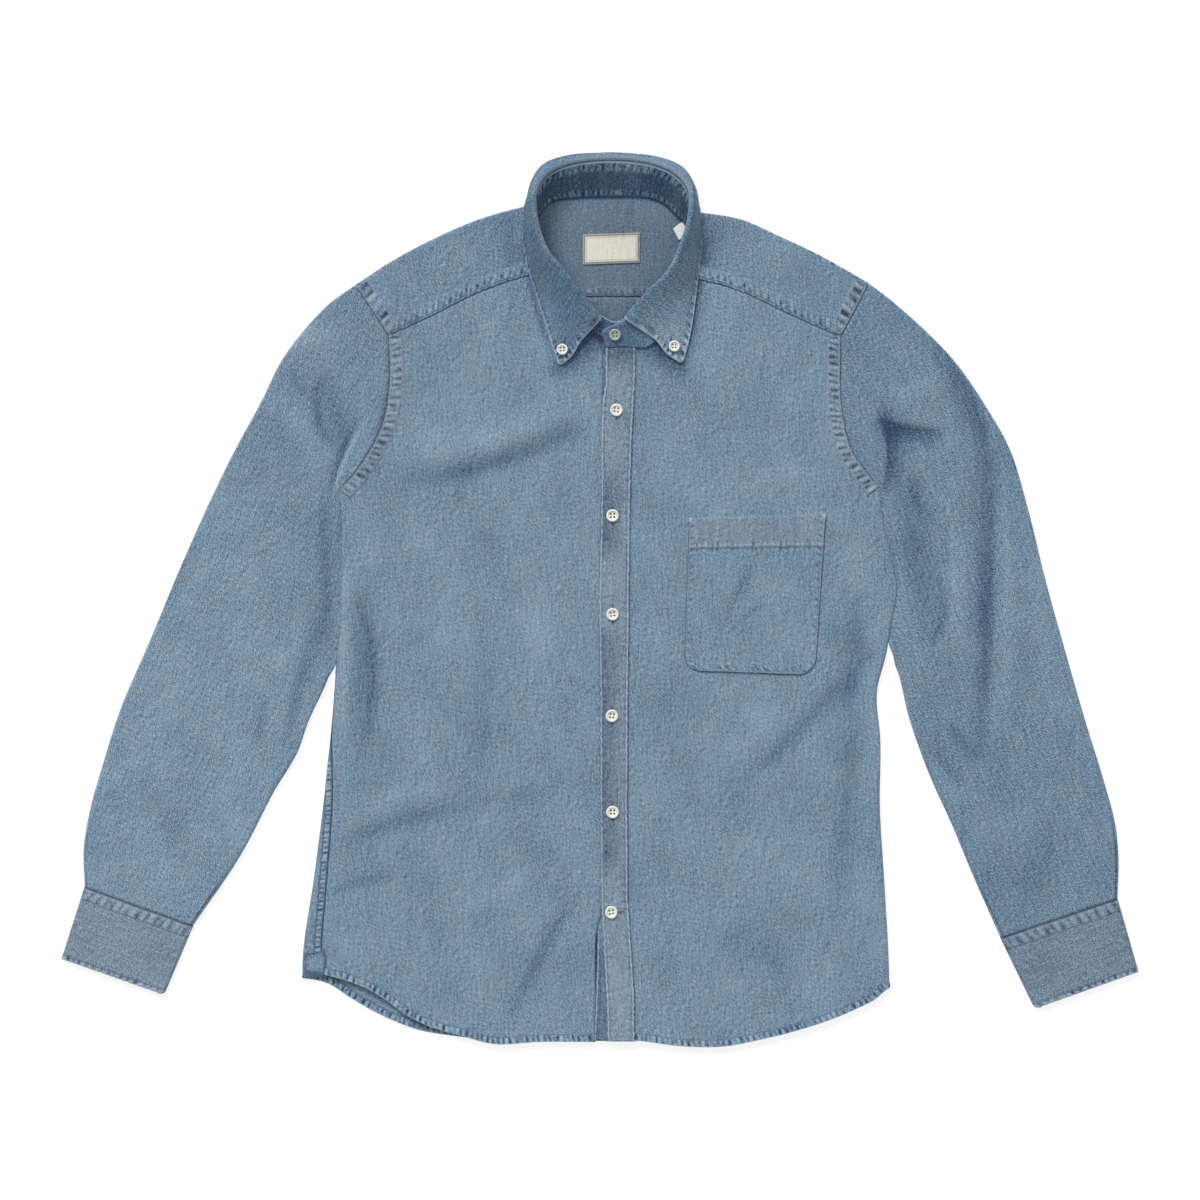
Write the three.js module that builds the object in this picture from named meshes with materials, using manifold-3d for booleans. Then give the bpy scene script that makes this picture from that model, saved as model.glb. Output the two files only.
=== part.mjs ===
// A long-sleeved button-down chambray shirt, laid flat on its back, buttoned up.
// Millimetres. +X to the wearer's left, +Y towards the collar, +Z up from the surface it lies on.
// Every cloth piece is a wall round a middle surface, and pieces stand a seam gap apart.
import * as THREE from "three";
import Module from "manifold-3d";
import { mergeVertices } from "three/addons/utils/BufferGeometryUtils.js";

// Driving dimensions
const CLOTH = 1.2; // wall of one layer of chambray
const BAND = 1.6; // wall of a folded strip, such as the placket and the cuffs
const FUSED = 1.4; // wall of the stiffened collar parts
const SEAM = 0.3; // gap between pieces that are sewn together
const FLOOR = CLOTH / 2; // middle surface of a layer that lies on the table
const ROLL = 2.2; // bend radius where a layer turns round an edge of the shirt
const TOP = FLOOR + 2 * ROLL; // middle surface of the upper layer
const LOWEST_UPPER = 2.3; // the upper layer never sinks below this
const BUTTON_RADIUS = 5.6;
const BUTTON_HEIGHT = 2.4;
const POINT_BUTTON_RADIUS = 5.2;
const CLEAR = 0.15; // extra gap over a surface that has a different mesh

// A table is a list of rows with named columns.
function table(columns, rows) {
  const names = columns.split(" ");
  return rows.map((row) => Object.fromEntries(names.map((name, at) => [name, row[at]])));
}

// Body edges and side seams. A seam's drop is its arc from the top of the edge roll, positive down
// the roll, so the right side seam comes round to the front lower down.
const QUARTER = (Math.PI * ROLL) / 2;
const BODY = table("y left right rightSeamDrop leftSeamDrop", [
  [100, -243, 260, QUARTER, QUARTER],
  [90, -241.5, 261.5, QUARTER, QUARTER],
  [70, -239.5, 264, QUARTER, QUARTER + 4],
  [40, -240, 271, QUARTER, QUARTER + 10],
  [10, -240, 276, QUARTER, QUARTER + 11],
  [-20, -241, 271, QUARTER, QUARTER + 11],
  [-50, -244, 266, QUARTER, QUARTER + 11],
  [-84, -246, 257.5, QUARTER, QUARTER + 11],
  [-130, -250, 260.5, 1, QUARTER + 11],
  [-190, -257, 260, -6, QUARTER + 11],
  [-260, -266, 264, -10, QUARTER + 11],
  [-330, -276, 268, -15, QUARTER + 11],
  [-360, -277, 269, -16, QUARTER + 11],
]);

// Armhole seams from the shoulder point down to the underarm.
const ARMHOLE = {
  right: {
    head: [[-227, 293], [-220, 283], [-208, 265], [-196, 247]],
    rest: [[-195, 202], [-203, 160], [-226, 120], [-243, 101]],
  },
  left: {
    head: [[249, 295], [243, 283], [233, 264], [223, 246]],
    rest: [[224, 179], [233, 140], [247, 119], [260, 103]],
  },
};
const ARMHOLE_STEPS = 9; // below the yoke corner
const BACK_SEAM_Y = 283; // back yoke seam

// Front yoke seams, from the armhole to the neckline.
const YOKE_SEAM = {
  right: [[-196, 247], [-159, 264], [-112, 287], [-75, 300], [-44, 306]],
  left: [[223, 246], [190, 260], [130, 288], [95, 298], [66, 303]],
};
const YOKE_STEPS = 8;

// Shoulder folds, from the armhole to the neckline.
const SHOULDER = {
  right: [[-227, 293], [-195, 314], [-158, 334], [-112, 354], [-54, 370]],
  left: [[249, 295], [205, 320], [167, 338], [130, 354], [78, 362]],
};
const NECK_SIDE = {
  right: [[-44, 306], [-51, 325], [-55, 343], [-56, 357], [-54, 370]],
  left: [[66, 303], [74.5, 322], [79, 338], [80, 350], [78, 362]],
};
const NECK_FRONT = {
  right: [[-44, 306], [-26, 279], [-12, 256], [-4.5, 239]],
  left: [[66, 303], [51, 277], [37, 255], [26, 235]],
};
const NECK_BACK = [[-54, 370], [-43, 374], [-20, 377.4], [12, 378.6], [44, 377.4], [62, 371.5], [78, 362]];
const NECK_STEPS = 5;

// Hems, from the wearer's right to the left.
const FRONT_HEM = [
  [-262, -348], [-236, -354], [-218, -361], [-198, -373], [-177, -388], [-155, -398], [-130, -405],
  [-98, -413], [-56, -411], [-4, -411], [35, -410], [75, -415], [114, -415.4], [149, -409],
  [178, -402], [213, -391], [237, -381], [255, -372], [267, -362], [278, -354],
];
const BACK_HEM = [
  [-262, -350], [-277, -350], [-255, -356], [-234, -369], [-212, -382], [-191, -392], [-169, -400],
  [-141, -405], [-98, -409], [0, -407], [100, -409], [178, -396], [225, -378], [258, -360],
];

// Sleeve edges, from the armhole to the cuff.
const SLEEVE = {
  right: {
    outer: [[-227, 293], [-251, 276], [-279, 246], [-298, 219], [-314, 186], [-339, 140], [-362, 93],
      [-391, 28], [-418, -37], [-446, -102], [-461, -149], [-474, -195], [-480, -232], [-479, -267]],
    inner: [[-248.4, 102], [-245.3, 88], [-241.8, 70], [-241.8, 40], [-242.2, 0], [-248, -51], [-253, -72],
      [-272, -114], [-282, -142], [-304, -179], [-335, -238], [-379, -303]],
  },
  left: {
    outer: [[249, 295], [270, 279], [307, 246], [332, 219], [358, 181], [381, 140], [398, 84],
      [414, 19], [432, -46], [451, -112], [468, -167], [479, -209], [482, -242], [481, -278]],
    inner: [[262.5, 105], [263.6, 90], [266.4, 70], [273.2, 38], [277.6, 10], [274, -20], [272.6, -37],
      [274, -57], [279, -72], [288, -110], [307, -163], [326, -205], [349, -260], [373, -314]],
  },
};
const SLEEVE_RINGS = [0, 0.02, 0.045, 0.08, 0.13, 0.19, 0.26, 0.33, 0.41, 0.5, 0.6, 0.7, 0.8, 0.9, 0.96, 1];
const ARMHOLE_REACH = 0.07; // share of the sleeve in which the armhole's curve dies out
const SLEEVE_LOFT = 0.8; // how far the middle of a sleeve stands above its edges

// Cuffs: seam corners and hem corners, outer side first.
const CUFF = {
  right: { seam: [[-479, -267], [-379, -303]], hem: [[-500.4, -334], [-406, -367]] },
  left: { seam: [[481, -278], [373, -314]], hem: [[500.4, -346], [405, -380]] },
};
const CUFF_STEPS = 3;
const CUFF_TOP = TOP - 1; // a cuff lies flatter than the sleeve

// Largest folds of the upper layer: a chord, the sideways bow of its middle, half width and height.
const FOLDS = table("x0 y0 x1 y1 bow half height", [
  [-186, 138, -12, 196, -18, 20, 3.2], // across the right chest towards the placket
  [-206, 40, -219, -140, 0, 15, -1.8], // down the right side
  [-214, -232, -102, -188, 6, 10, -1.2],
  [-80, -300, -86, -395, 0, 13, -1.6],
  [232, -70, 219, -285, 6, 14, -1.8], // down the left side
  [256, -45, 226, -104, -4, 9, -1.6],
  [130, -172, 223, -93, 0, 11, -1.4],
  [-262, 214, -236, 120, 6, 11, -2.6], // right sleeve at the armhole
  [-300, 235, -240, 246, 0, 13, 2.2],
  [-377, 75, -404, -10, 0, 14, -1.4],
  [-260, 0, -275, -80, 3, 9, -2.2],
  [262, 182, 318, 206, -4, 13, 4.0], // left sleeve at the armhole
  [264, 160, 306, 150, 0, 12, -3.4],
  [276, 110, 302, -45, 8, 14, -3.0],
  [318, 238, 364, 104, 12, 13, -3.6], // long fold down the left sleeve
  [364, 110, 345, -165, -4, 13, -3.6],
  [322, 110, 322, -60, 0, 20, 2.6],
]);

// Collar sections from the right band end round the back to the left band end: neck seam, top edge
// of the band, middle of the leaf's outer face, and the leaf's free edge.
const COLLAR = table("bx by bz tx ty tz mx my mz ex ey ez", [
  [0, 231, 6.6, 3, 260, 8.4, -18, 240, 9.0, -38, 217, 7.3],
  [-13, 256, 6.6, -18, 283, 15, -34, 262, 12.5, -45, 239, 7.2],
  [-26, 279, 6.6, -33, 304, 21, -47, 286, 15.5, -53, 265, 7.1],
  [-36, 296, 6.6, -46, 320, 24.5, -57, 305, 17, -60, 288, 7.1],
  [-44, 312, 6.6, -53, 335, 27, -64, 323, 18, -67, 309, 7.1],
  [-49, 330, 6.6, -57, 349, 28.5, -68, 340, 18, -71, 331, 7.1],
  [-51.5, 345, 6.6, -59, 361, 29, -68.5, 355, 18, -71, 349, 7.1],
  [-51.5, 357, 5.6, -59.5, 372, 28.5, -67.5, 371, 17, -69.5, 369, 6.2],
  [-48, 368, 3.6, -54, 387, 26, -63.5, 389, 13, -63, 379, 1.2],
  [-41, 375, 2.4, -44, 397, 22.5, -53, 404, 9, -47, 384, 1],
  [-20, 378, 2.2, -24, 404.5, 18.5, -28.5, 413, 6.5, -22, 384, 1],
  [12, 379, 2.2, 13, 408, 16.5, 13.5, 414.4, 6, 13, 385, 1],
  [45, 378, 2.2, 49, 403.5, 18.5, 53, 411.5, 6.5, 46, 384, 1],
  [60, 373, 2.4, 68, 395, 22.5, 77.5, 401, 9, 70, 381, 1],
  [70, 363.5, 3.6, 80, 382, 26, 88.5, 383, 13, 88, 372, 1.2],
  [74, 352, 5.6, 83, 368, 28.5, 91.5, 366, 17, 93, 362, 6.2],
  [75.5, 339, 6.6, 82, 356, 29, 92, 351, 18, 94.5, 345, 7.1],
  [74, 324, 6.6, 79, 341, 28, 90.5, 334, 18, 94.5, 328, 7.1],
  [69, 309, 6.6, 73, 325, 26.5, 86, 317, 17.5, 92.5, 310, 7.1],
  [62, 295, 6.6, 66, 309, 24, 81, 299, 16.5, 90, 291, 7.1],
  [53, 280, 6.6, 56, 295, 20.5, 73, 283, 15, 88, 273, 7.1],
  [40, 259, 7.2, 42, 278, 15, 63, 262, 12.5, 84, 247, 7.2],
  [27, 231, 8.4, 27, 260, 10.4, 51, 242, 9.6, 77, 219, 7.4],
]);
// The band's two ends lie over each other at the front, the left one on top.
const BAND_END = table("bx by bz tx ty tz", [
  [24, 230.5, 6.6, 22, 255, 6.8],
  [13, 229.8, 6.6, 13, 258, 7.2],
  [16, 229.8, 8.4, 14, 256.5, 9.4],
  [5, 230.5, 8.4, 2.5, 249, 8.7],
]);
const LEAF_RISE = 4.4; // the leaf goes on this far past the band before it turns over
const LEAF_TURN = 1.9; // radius of that turn

// Placket edges down the front, wearer's left over right.
const PLACKET = table("y left right", [
  [229.3, 5, 33], [201, 5, 32.5], [186, 2, 31.5], [149, 1, 29.5], [93, 1, 28], [0, -1, 27],
  [-93, 0, 26], [-186, 0, 25.5], [-279, 1, 26], [-336, 4, 30], [-372, 6, 32], [-410.5, 7, 32],
]);
const BUTTON_BAND = { left: -4, right: 24, top: 229, bottom: -410 };
const PLACKET_LIFT = CLOTH / 2 + SEAM + BAND / 2;
const CENTRE_FRONT = 12;
const CENTRE_FLAT = 22; // half width of the strip at the front that no fold crosses

// Patch pocket: its corners, with rounded foot corners, and the depth of its hem band.
const POCKET = {
  topLeft: [83, 76.5], topRight: [210, 80], footLeft: [78, -66], footRight: [200, -69.5],
  round: 16, band: 28, flatHalfWidth: 66, flatHalfDepth: 76, fade: 22,
};
const POCKET_WALL = 1.1;
const POCKET_BAND_WALL = 1.5;

const LABEL = { corners: [[-16, 340], [37, 342], [37, 314], [-16, 312]], wall: 1.0 };
const SIZE_TAB = { corners: [[75.5, 352], [67, 345.5], [73, 335.5], [76, 337.5]], wall: 1.0 };
const GUSSET = { left: -272.5, right: -253, top: -327, foot: -346.5, wall: 1.0 };
const FRONT_BUTTONS = table("x y", [[15, 177], [12, 78], [12, -13], [11, -108], [12, -197], [11, -290]]);

// Collar buttons: where each sits, and the slope of the cloth under it.
const COLLAR_BUTTONS = table("name x y seat slopeX slopeY", [
  ["button_band_top", 14, 246.5, 10.15, 0, 0.04],
  ["button_point_right", -35, 233, 9.75, 0.066, 0.017],
  ["button_point_left", 69, 236, 10.1, -0.075, 0.011],
]);

const COLOURS = {
  chambray: 0x7a94ab, band: 0x75899c, collar: 0x6f8aa3, label: 0xe6dfc9, tab: 0xf2f2f0, button: 0xe9e6da,
};

const smooth = THREE.MathUtils.smoothstep;
const vec2 = (p) => new THREE.Vector2(p[0], p[1]);
const vec3 = (x, y, z) => new THREE.Vector3(x, y, z);

// Height of the upper layer's middle surface.
function upper(x, y, loft = 0) {
  let lift = 0;
  for (const fold of FOLDS) {
    const chord = new THREE.Vector2(fold.x1 - fold.x0, fold.y1 - fold.y0);
    const length = chord.length();
    chord.divideScalar(length);
    const along = ((x - fold.x0) * chord.x + (y - fold.y0) * chord.y) / length;
    if (along < 0 || along > 1) continue;
    const aside = (y - fold.y0) * chord.x - (x - fold.x0) * chord.y - fold.bow * 4 * along * (1 - along);
    const fade = Math.sin(Math.PI * along) ** 0.6;
    lift += fold.height * fade * Math.exp(-((aside / fold.half) ** 2));
  }
  const fromCentre = smooth(Math.abs(x - CENTRE_FRONT), CENTRE_FLAT, CENTRE_FLAT + 24);
  const fromPocket = 1 - patchFade(x, y);
  return Math.max(LOWEST_UPPER, TOP + loft + lift * fromCentre * fromPocket);
}

// 1 over the pocket, falling to 0 just outside it.
function patchFade(x, y) {
  const middle = vec2(POCKET.topLeft).add(vec2(POCKET.footRight)).multiplyScalar(0.5);
  const dx = Math.abs(x - middle.x) - POCKET.flatHalfWidth;
  const dy = Math.abs(y - middle.y) - POCKET.flatHalfDepth;
  return 1 - smooth(Math.max(dx, dy), 0, POCKET.fade);
}

// Points along a smooth line at the given shares of its length, or evenly spaced.
function alongAt(points, stops) {
  const line = new THREE.CatmullRomCurve3(points.map((p) => vec3(p[0], p[1], 0)), false, "centripetal");
  line.arcLengthDivisions = 800;
  return stops.map((stop) => line.getPointAt(stop)).map((p) => new THREE.Vector2(p.x, p.y));
}
function along(points, steps) {
  return alongAt(points, Array.from({ length: steps + 1 }, (_, k) => k / steps));
}

// Column value of a table at y, rows ordered downwards.
function atY(rows, column, y) {
  const next = rows.findIndex((row) => row.y <= y);
  if (next === 0) return rows[0][column];
  if (next < 0) return rows[rows.length - 1][column];
  const [a, b] = [rows[next - 1], rows[next]];
  return THREE.MathUtils.lerp(a[column], b[column], (a.y - y) / (a.y - b.y));
}

// Plan grid between four sides; left and right run down, top and bottom run across. The top side's
// curve dies out over its reach, a share of the way down.
function patch(left, right, top, bottom, reach = null) {
  const rows = left.length - 1;
  const cols = top.length - 1;
  const grid = [];
  for (let r = 0; r <= rows; r++) {
    const v = r / rows;
    const topShare = reach ? Math.max(0, 1 - reach[r]) ** 2 : 1 - v;
    const bottomShare = reach ? v ** 4 : v;
    grid.push(top.map((_, c) => {
      const u = c / cols;
      const p = left[r].clone().lerp(right[r], u);
      const topBulge = top[c].clone().sub(top[0].clone().lerp(top[cols], u));
      const bottomBulge = bottom[c].clone().sub(bottom[0].clone().lerp(bottom[cols], u));
      return p.addScaledVector(topBulge, topShare).addScaledVector(bottomBulge, bottomShare);
    }));
  }
  return grid;
}

// Adds columns beside a panel's first column, so that its edge can roll. arcs has the length of
// cloth on the roll in each row.
const ROLL_SHARES = [0.35, 0.56, 0.78, 1];
function addRollColumns(grid, arcs) {
  return grid.map((row, r) => {
    const inward = row[1].clone().sub(row[0]).normalize();
    const extra = ROLL_SHARES.map((share) => row[0].clone().addScaledVector(inward, share * arcs[r]));
    return [row[0], ...extra, ...row.slice(1)];
  });
}

// A closed wall round a grid of middle points. Cells that keep() refuses are left out, and a ringed
// grid joins its last column to its first.
function wall(grid, thickness, { ringed = false, keep = () => true } = {}) {
  const rows = grid.length;
  const cols = grid[0].length;
  const lastCol = ringed ? cols : cols - 1;
  const at = (r, c) => grid[r][c % cols];
  const index = (r, c) => r * cols + (c % cols);
  const cells = [];
  const kept = new Set();
  for (let r = 0; r < rows - 1; r++) {
    for (let c = 0; c < lastCol; c++) {
      if (!keep(r, c)) continue;
      cells.push([r, c]);
      kept.add(r * cols + c);
    }
  }
  const normals = grid.flat().map(() => new THREE.Vector3());
  for (const [r, c] of cells) {
    const across = at(r + 1, c + 1).clone().sub(at(r, c));
    const other = at(r, c + 1).clone().sub(at(r + 1, c));
    const normal = across.cross(other).normalize();
    for (const [dr, dc] of [[0, 0], [1, 0], [0, 1], [1, 1]]) normals[index(r + dr, c + dc)].add(normal);
  }
  const positions = [];
  const half = thickness / 2;
  for (const side of [half, -half]) {
    grid.flat().forEach((p, i) => {
      const n = normals[i].lengthSq() > 0 ? normals[i].clone().normalize() : normals[i];
      positions.push(p.x + n.x * side, p.y + n.y * side, p.z + n.z * side);
    });
  }
  const below = rows * cols;
  const faces = [];
  const has = (r, c) => r >= 0 && r < rows - 1 && kept.has(r * cols + (ringed ? (c + cols) % cols : c))
    && (ringed || (c >= 0 && c < lastCol));
  for (const [r, c] of cells) {
    const a = index(r, c);
    const b = index(r + 1, c);
    const d = index(r + 1, c + 1);
    const e = index(r, c + 1);
    faces.push(a, b, d, a, d, e);
    faces.push(below + a, below + d, below + b, below + a, below + e, below + d);
    const rims = [[a, b, r, c - 1], [b, d, r + 1, c], [d, e, r, c + 1], [e, a, r - 1, c]];
    for (const [from, to, nr, nc] of rims) {
      if (has(nr, nc)) continue;
      faces.push(below + from, below + to, to, below + from, to, from);
    }
  }
  return closedGeometry(positions, faces);
}

// Drops unused points, and turns the faces outwards.
function closedGeometry(positions, faces) {
  const used = new Map();
  const compact = [];
  const renumbered = faces.map((i) => {
    if (!used.has(i)) {
      used.set(i, used.size);
      compact.push(positions[3 * i], positions[3 * i + 1], positions[3 * i + 2]);
    }
    return used.get(i);
  });
  let volume = 0;
  const corner = (i) => vec3(compact[3 * i], compact[3 * i + 1], compact[3 * i + 2]);
  for (let f = 0; f < renumbered.length; f += 3) {
    const [a, b, c] = [0, 1, 2].map((k) => corner(renumbered[f + k]));
    volume += a.dot(b.cross(c));
  }
  if (volume < 0) renumbered.reverse();
  const geometry = new THREE.BufferGeometry();
  geometry.setAttribute("position", new THREE.Float32BufferAttribute(compact, 3));
  geometry.setIndex(renumbered);
  geometry.computeVertexNormals();
  return geometry;
}

// Moves a sewn edge of a grid back by half the seam gap, towards the next row or column.
function drawBack(edge, inside, distance = SEAM / 2) {
  edge.forEach((p, i) => p.add(inside[i].clone().sub(p).setLength(distance)));
}
const column = (grid, c) => grid.map((row) => row.at(c));

// Lays plan points on the upper layer, rolling them round the body's edges where they run past.
function layOnBody(p) {
  const leftStart = atY(BODY, "left", p.y) + ROLL;
  const rightStart = atY(BODY, "right", p.y) - ROLL;
  if (p.x >= leftStart && p.x <= rightStart) return vec3(p.x, p.y, upper(p.x, p.y));
  const start = p.x < leftStart ? leftStart : rightStart;
  const way = p.x < leftStart ? -1 : 1;
  const arc = Math.abs(p.x - start);
  const beyond = arc - Math.PI * ROLL;
  if (beyond > 0) return vec3(start - way * beyond, p.y, FLOOR);
  const turn = arc / ROLL;
  return vec3(start + way * ROLL * Math.sin(turn), p.y, FLOOR + ROLL + ROLL * Math.cos(turn));
}

// The same for the back, which starts on the table and rolls up.
function layOnTable(p) {
  const leftStart = atY(BODY, "left", p.y) + ROLL;
  const rightStart = atY(BODY, "right", p.y) - ROLL;
  if (p.x >= leftStart && p.x <= rightStart) return vec3(p.x, p.y, FLOOR);
  const start = p.x < leftStart ? leftStart : rightStart;
  const way = p.x < leftStart ? -1 : 1;
  const arc = Math.abs(p.x - start);
  const beyond = arc - Math.PI * ROLL;
  if (beyond > 0) return vec3(start - way * beyond, p.y, upper(start - way * beyond, p.y));
  const turn = arc / ROLL;
  return vec3(start + way * ROLL * Math.sin(turn), p.y, FLOOR + ROLL - ROLL * Math.cos(turn));
}

// The armhole in plan: shoulder point, yoke seams, then down to the underarm.
function armhole(side) {
  const { head, rest } = ARMHOLE[side];
  return [...head.slice(0, 3).map(vec2), ...along([head[3], ...rest], ARMHOLE_STEPS)];
}
const YOKE_BACK_NODE = 1;
const YOKE_FRONT_NODE = 3;

// The side seam in the plan of the layer it is laid on, from the underarm to the hem.
const SIDE_STEPS = 14;
const WEARERS_RIGHT = { edge: "left", drop: "rightSeamDrop", way: -1 };
const WEARERS_LEFT = { edge: "right", drop: "leftSeamDrop", way: 1 };
function sideSeam(which, yEnd, onBack) {
  const points = [];
  const yStart = BODY[0].y - 8;
  for (let k = 0; k <= SIDE_STEPS; k++) {
    const y = THREE.MathUtils.lerp(yStart, yEnd, k / SIDE_STEPS);
    const drop = atY(BODY, which.drop, y);
    const arc = onBack ? Math.PI * ROLL - drop : drop;
    points.push(new THREE.Vector2(atY(BODY, which.edge, y) - which.way * ROLL + which.way * arc, y));
  }
  return points;
}

function frontPanel(side) {
  const right = side === "right";
  const arm = armhole(side).slice(YOKE_FRONT_NODE);
  const seamSide = right ? WEARERS_RIGHT : WEARERS_LEFT;
  const hemEnd = right ? FRONT_HEM[0] : FRONT_HEM.at(-1);
  const outerEdge = [...arm, ...sideSeam(seamSide, hemEnd[1], false)];
  const centreX = right ? BUTTON_BAND.left - SEAM : BUTTON_BAND.right + SEAM;
  const neck = [...along(YOKE_SEAM[side], YOKE_STEPS), ...along(NECK_FRONT[side], NECK_STEPS).slice(1)];
  const hemLine = FRONT_HEM.filter((p) => (right ? p[0] < centreX - 3 : p[0] > centreX + 3));
  hemLine[right ? 0 : hemLine.length - 1] = outerEdge.at(-1).toArray();
  const hemPoints = right ? [...hemLine, [centreX, -411]] : [[centreX, -410.5], ...hemLine];
  const hem = along(hemPoints, neck.length - 1);
  if (!right) hem.reverse();
  const topY = neck.at(-1).y;
  const centre = outerEdge.map((_, i) => {
    const y = THREE.MathUtils.lerp(topY, hem.at(-1).y, i / (outerEdge.length - 1));
    return new THREE.Vector2(centreX, y);
  });
  const arcs = outerEdge.map((p, i) => {
    if (i < arm.length) return QUARTER;
    return Math.max(QUARTER, atY(BODY, seamSide.drop, p.y));
  });
  const grid = addRollColumns(patch(outerEdge, centre, neck, hem), arcs).map((row) => row.map(layOnBody));
  drawBack(column(grid, 0), column(grid, 1));
  drawBack(column(grid, 0).slice(arm.length), column(grid, 1).slice(arm.length), SEAM / 2);
  const seamNodes = YOKE_STEPS + 1 + ROLL_SHARES.length;
  drawBack(grid[0].slice(0, seamNodes), grid[1].slice(0, seamNodes));
  return wall(grid, CLOTH);
}

function backPanel() {
  const arms = { right: armhole("right"), left: armhole("left") };
  const leftSide = [...arms.right.slice(YOKE_BACK_NODE), ...sideSeam(WEARERS_RIGHT, BACK_HEM[0][1], true)];
  const rightSide = [...arms.left.slice(YOKE_BACK_NODE), ...sideSeam(WEARERS_LEFT, BACK_HEM.at(-1)[1], true)];
  const cols = 8;
  const top = along([leftSide[0].toArray(), rightSide[0].toArray()], cols);
  const hemPoints = [leftSide.at(-1).toArray(), ...BACK_HEM.slice(2, -1), rightSide.at(-1).toArray()];
  const bottom = along(hemPoints, cols);
  const arcsOf = (points, which) => points.map((p, i) => {
    if (i < arms.right.length - YOKE_BACK_NODE) return QUARTER;
    return Math.max(QUARTER, Math.PI * ROLL - atY(BODY, which.drop, p.y));
  });
  const plan = addRollColumns(patch(leftSide, rightSide, top, bottom), arcsOf(leftSide, WEARERS_RIGHT));
  const mirrored = addRollColumns(plan.map((row) => row.reverse()), arcsOf(rightSide, WEARERS_LEFT));
  const grid = mirrored.map((row) => row.reverse().map(layOnTable));
  drawBack(column(grid, 0), column(grid, 1));
  drawBack(column(grid, -1), column(grid, -2));
  const sideRows = arms.right.length - YOKE_BACK_NODE;
  drawBack(column(grid, 0).slice(sideRows), column(grid, 1).slice(sideRows), SEAM / 2);
  drawBack(grid[0], grid[1]);
  return wall(grid, CLOTH);
}

// Half-round turn from the upper layer down to the layer on the table. The turn's outermost point
// is at the given plan point, and towards is the neighbouring plan point inside.
const TURN_STEPS = 4;
function turn(edge, towards, topZ) {
  const radius = (topZ - FLOOR) / 2;
  const outward = edge.clone().sub(towards).normalize();
  const centre = edge.clone().addScaledVector(outward, -radius);
  const points = [];
  for (let k = 0; k <= TURN_STEPS; k++) {
    const angle = (Math.PI * k) / TURN_STEPS;
    const reach = centre.clone().addScaledVector(outward, radius * Math.sin(angle));
    points.push(vec3(reach.x, reach.y, FLOOR + radius + radius * Math.cos(angle)));
  }
  return points;
}

// A flattened ring: across the upper layer, round the inner edge, back below, round the outer edge.
function flatRing(plan, height) {
  const first = plan[0];
  const last = plan.at(-1);
  const upperPoints = plan.slice(1, -1).map((p, i) => vec3(p.x, p.y, height(p, (i + 1) / (plan.length - 1))));
  const lowerPoints = plan.slice(1, -1).map((p) => vec3(p.x, p.y, FLOOR)).reverse();
  return [
    ...turn(first, plan[1], height(first, 0)).reverse(),
    ...upperPoints,
    ...turn(last, plan.at(-2), height(last, 1)),
    ...lowerPoints,
  ];
}

// The sleeve stands clear of the body at the underarm, where both turn under.
const UNDERARM_EASE = 2.3;
function easeUnderarm(plan, side) {
  const away = new THREE.Vector2(side === "right" ? -0.73 : 0.73, 0.69);
  plan.slice(0, 4).forEach((row, i) => row.forEach((p, c) => {
    const nearUnderarm = smooth(c / (row.length - 1), 0.72, 0.95) * (1 - i / 4);
    p.addScaledVector(away, UNDERARM_EASE * nearUnderarm);
  }));
}

function sleeve(side) {
  const arm = armhole(side);
  const seam = CUFF[side].seam;
  const outer = alongAt(SLEEVE[side].outer, SLEEVE_RINGS);
  const inner = alongAt(SLEEVE[side].inner, SLEEVE_RINGS);
  const cuffEdge = along(seam, arm.length - 1);
  const plan = patch(outer, inner, arm, cuffEdge, SLEEVE_RINGS.map((v) => v / ARMHOLE_REACH));
  easeUnderarm(plan, side);
  const rings = plan.map((row, i) => flatRing(row, (p, u) => {
    const v = SLEEVE_RINGS[i];
    const grown = smooth(v, 0, 0.15) * smooth(1 - v, 0, 0.15);
    return upper(p.x, p.y, SLEEVE_LOFT * grown * Math.sin(Math.PI * u) ** 0.7);
  }));
  drawBack(rings[0], rings[1]);
  drawBack(rings.at(-1), rings.at(-2));
  return wall(rings, CLOTH, { ringed: true });
}

function cuff(side) {
  const { seam, hem } = CUFF[side];
  const across = 8;
  const outer = along([seam[0], hem[0]], CUFF_STEPS);
  const inner = along([seam[1], hem[1]], CUFF_STEPS);
  const plan = patch(outer, inner, along(seam, across), along(hem, across));
  const lift = BAND / 2 - FLOOR;
  const rings = plan.map((row) => flatRing(row, (p, u) => CUFF_TOP + 0.5 * Math.sin(Math.PI * u)));
  for (const point of rings.flat()) point.z += lift;
  drawBack(rings[0], rings[1]);
  return wall(rings, BAND, { ringed: true });
}

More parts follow.
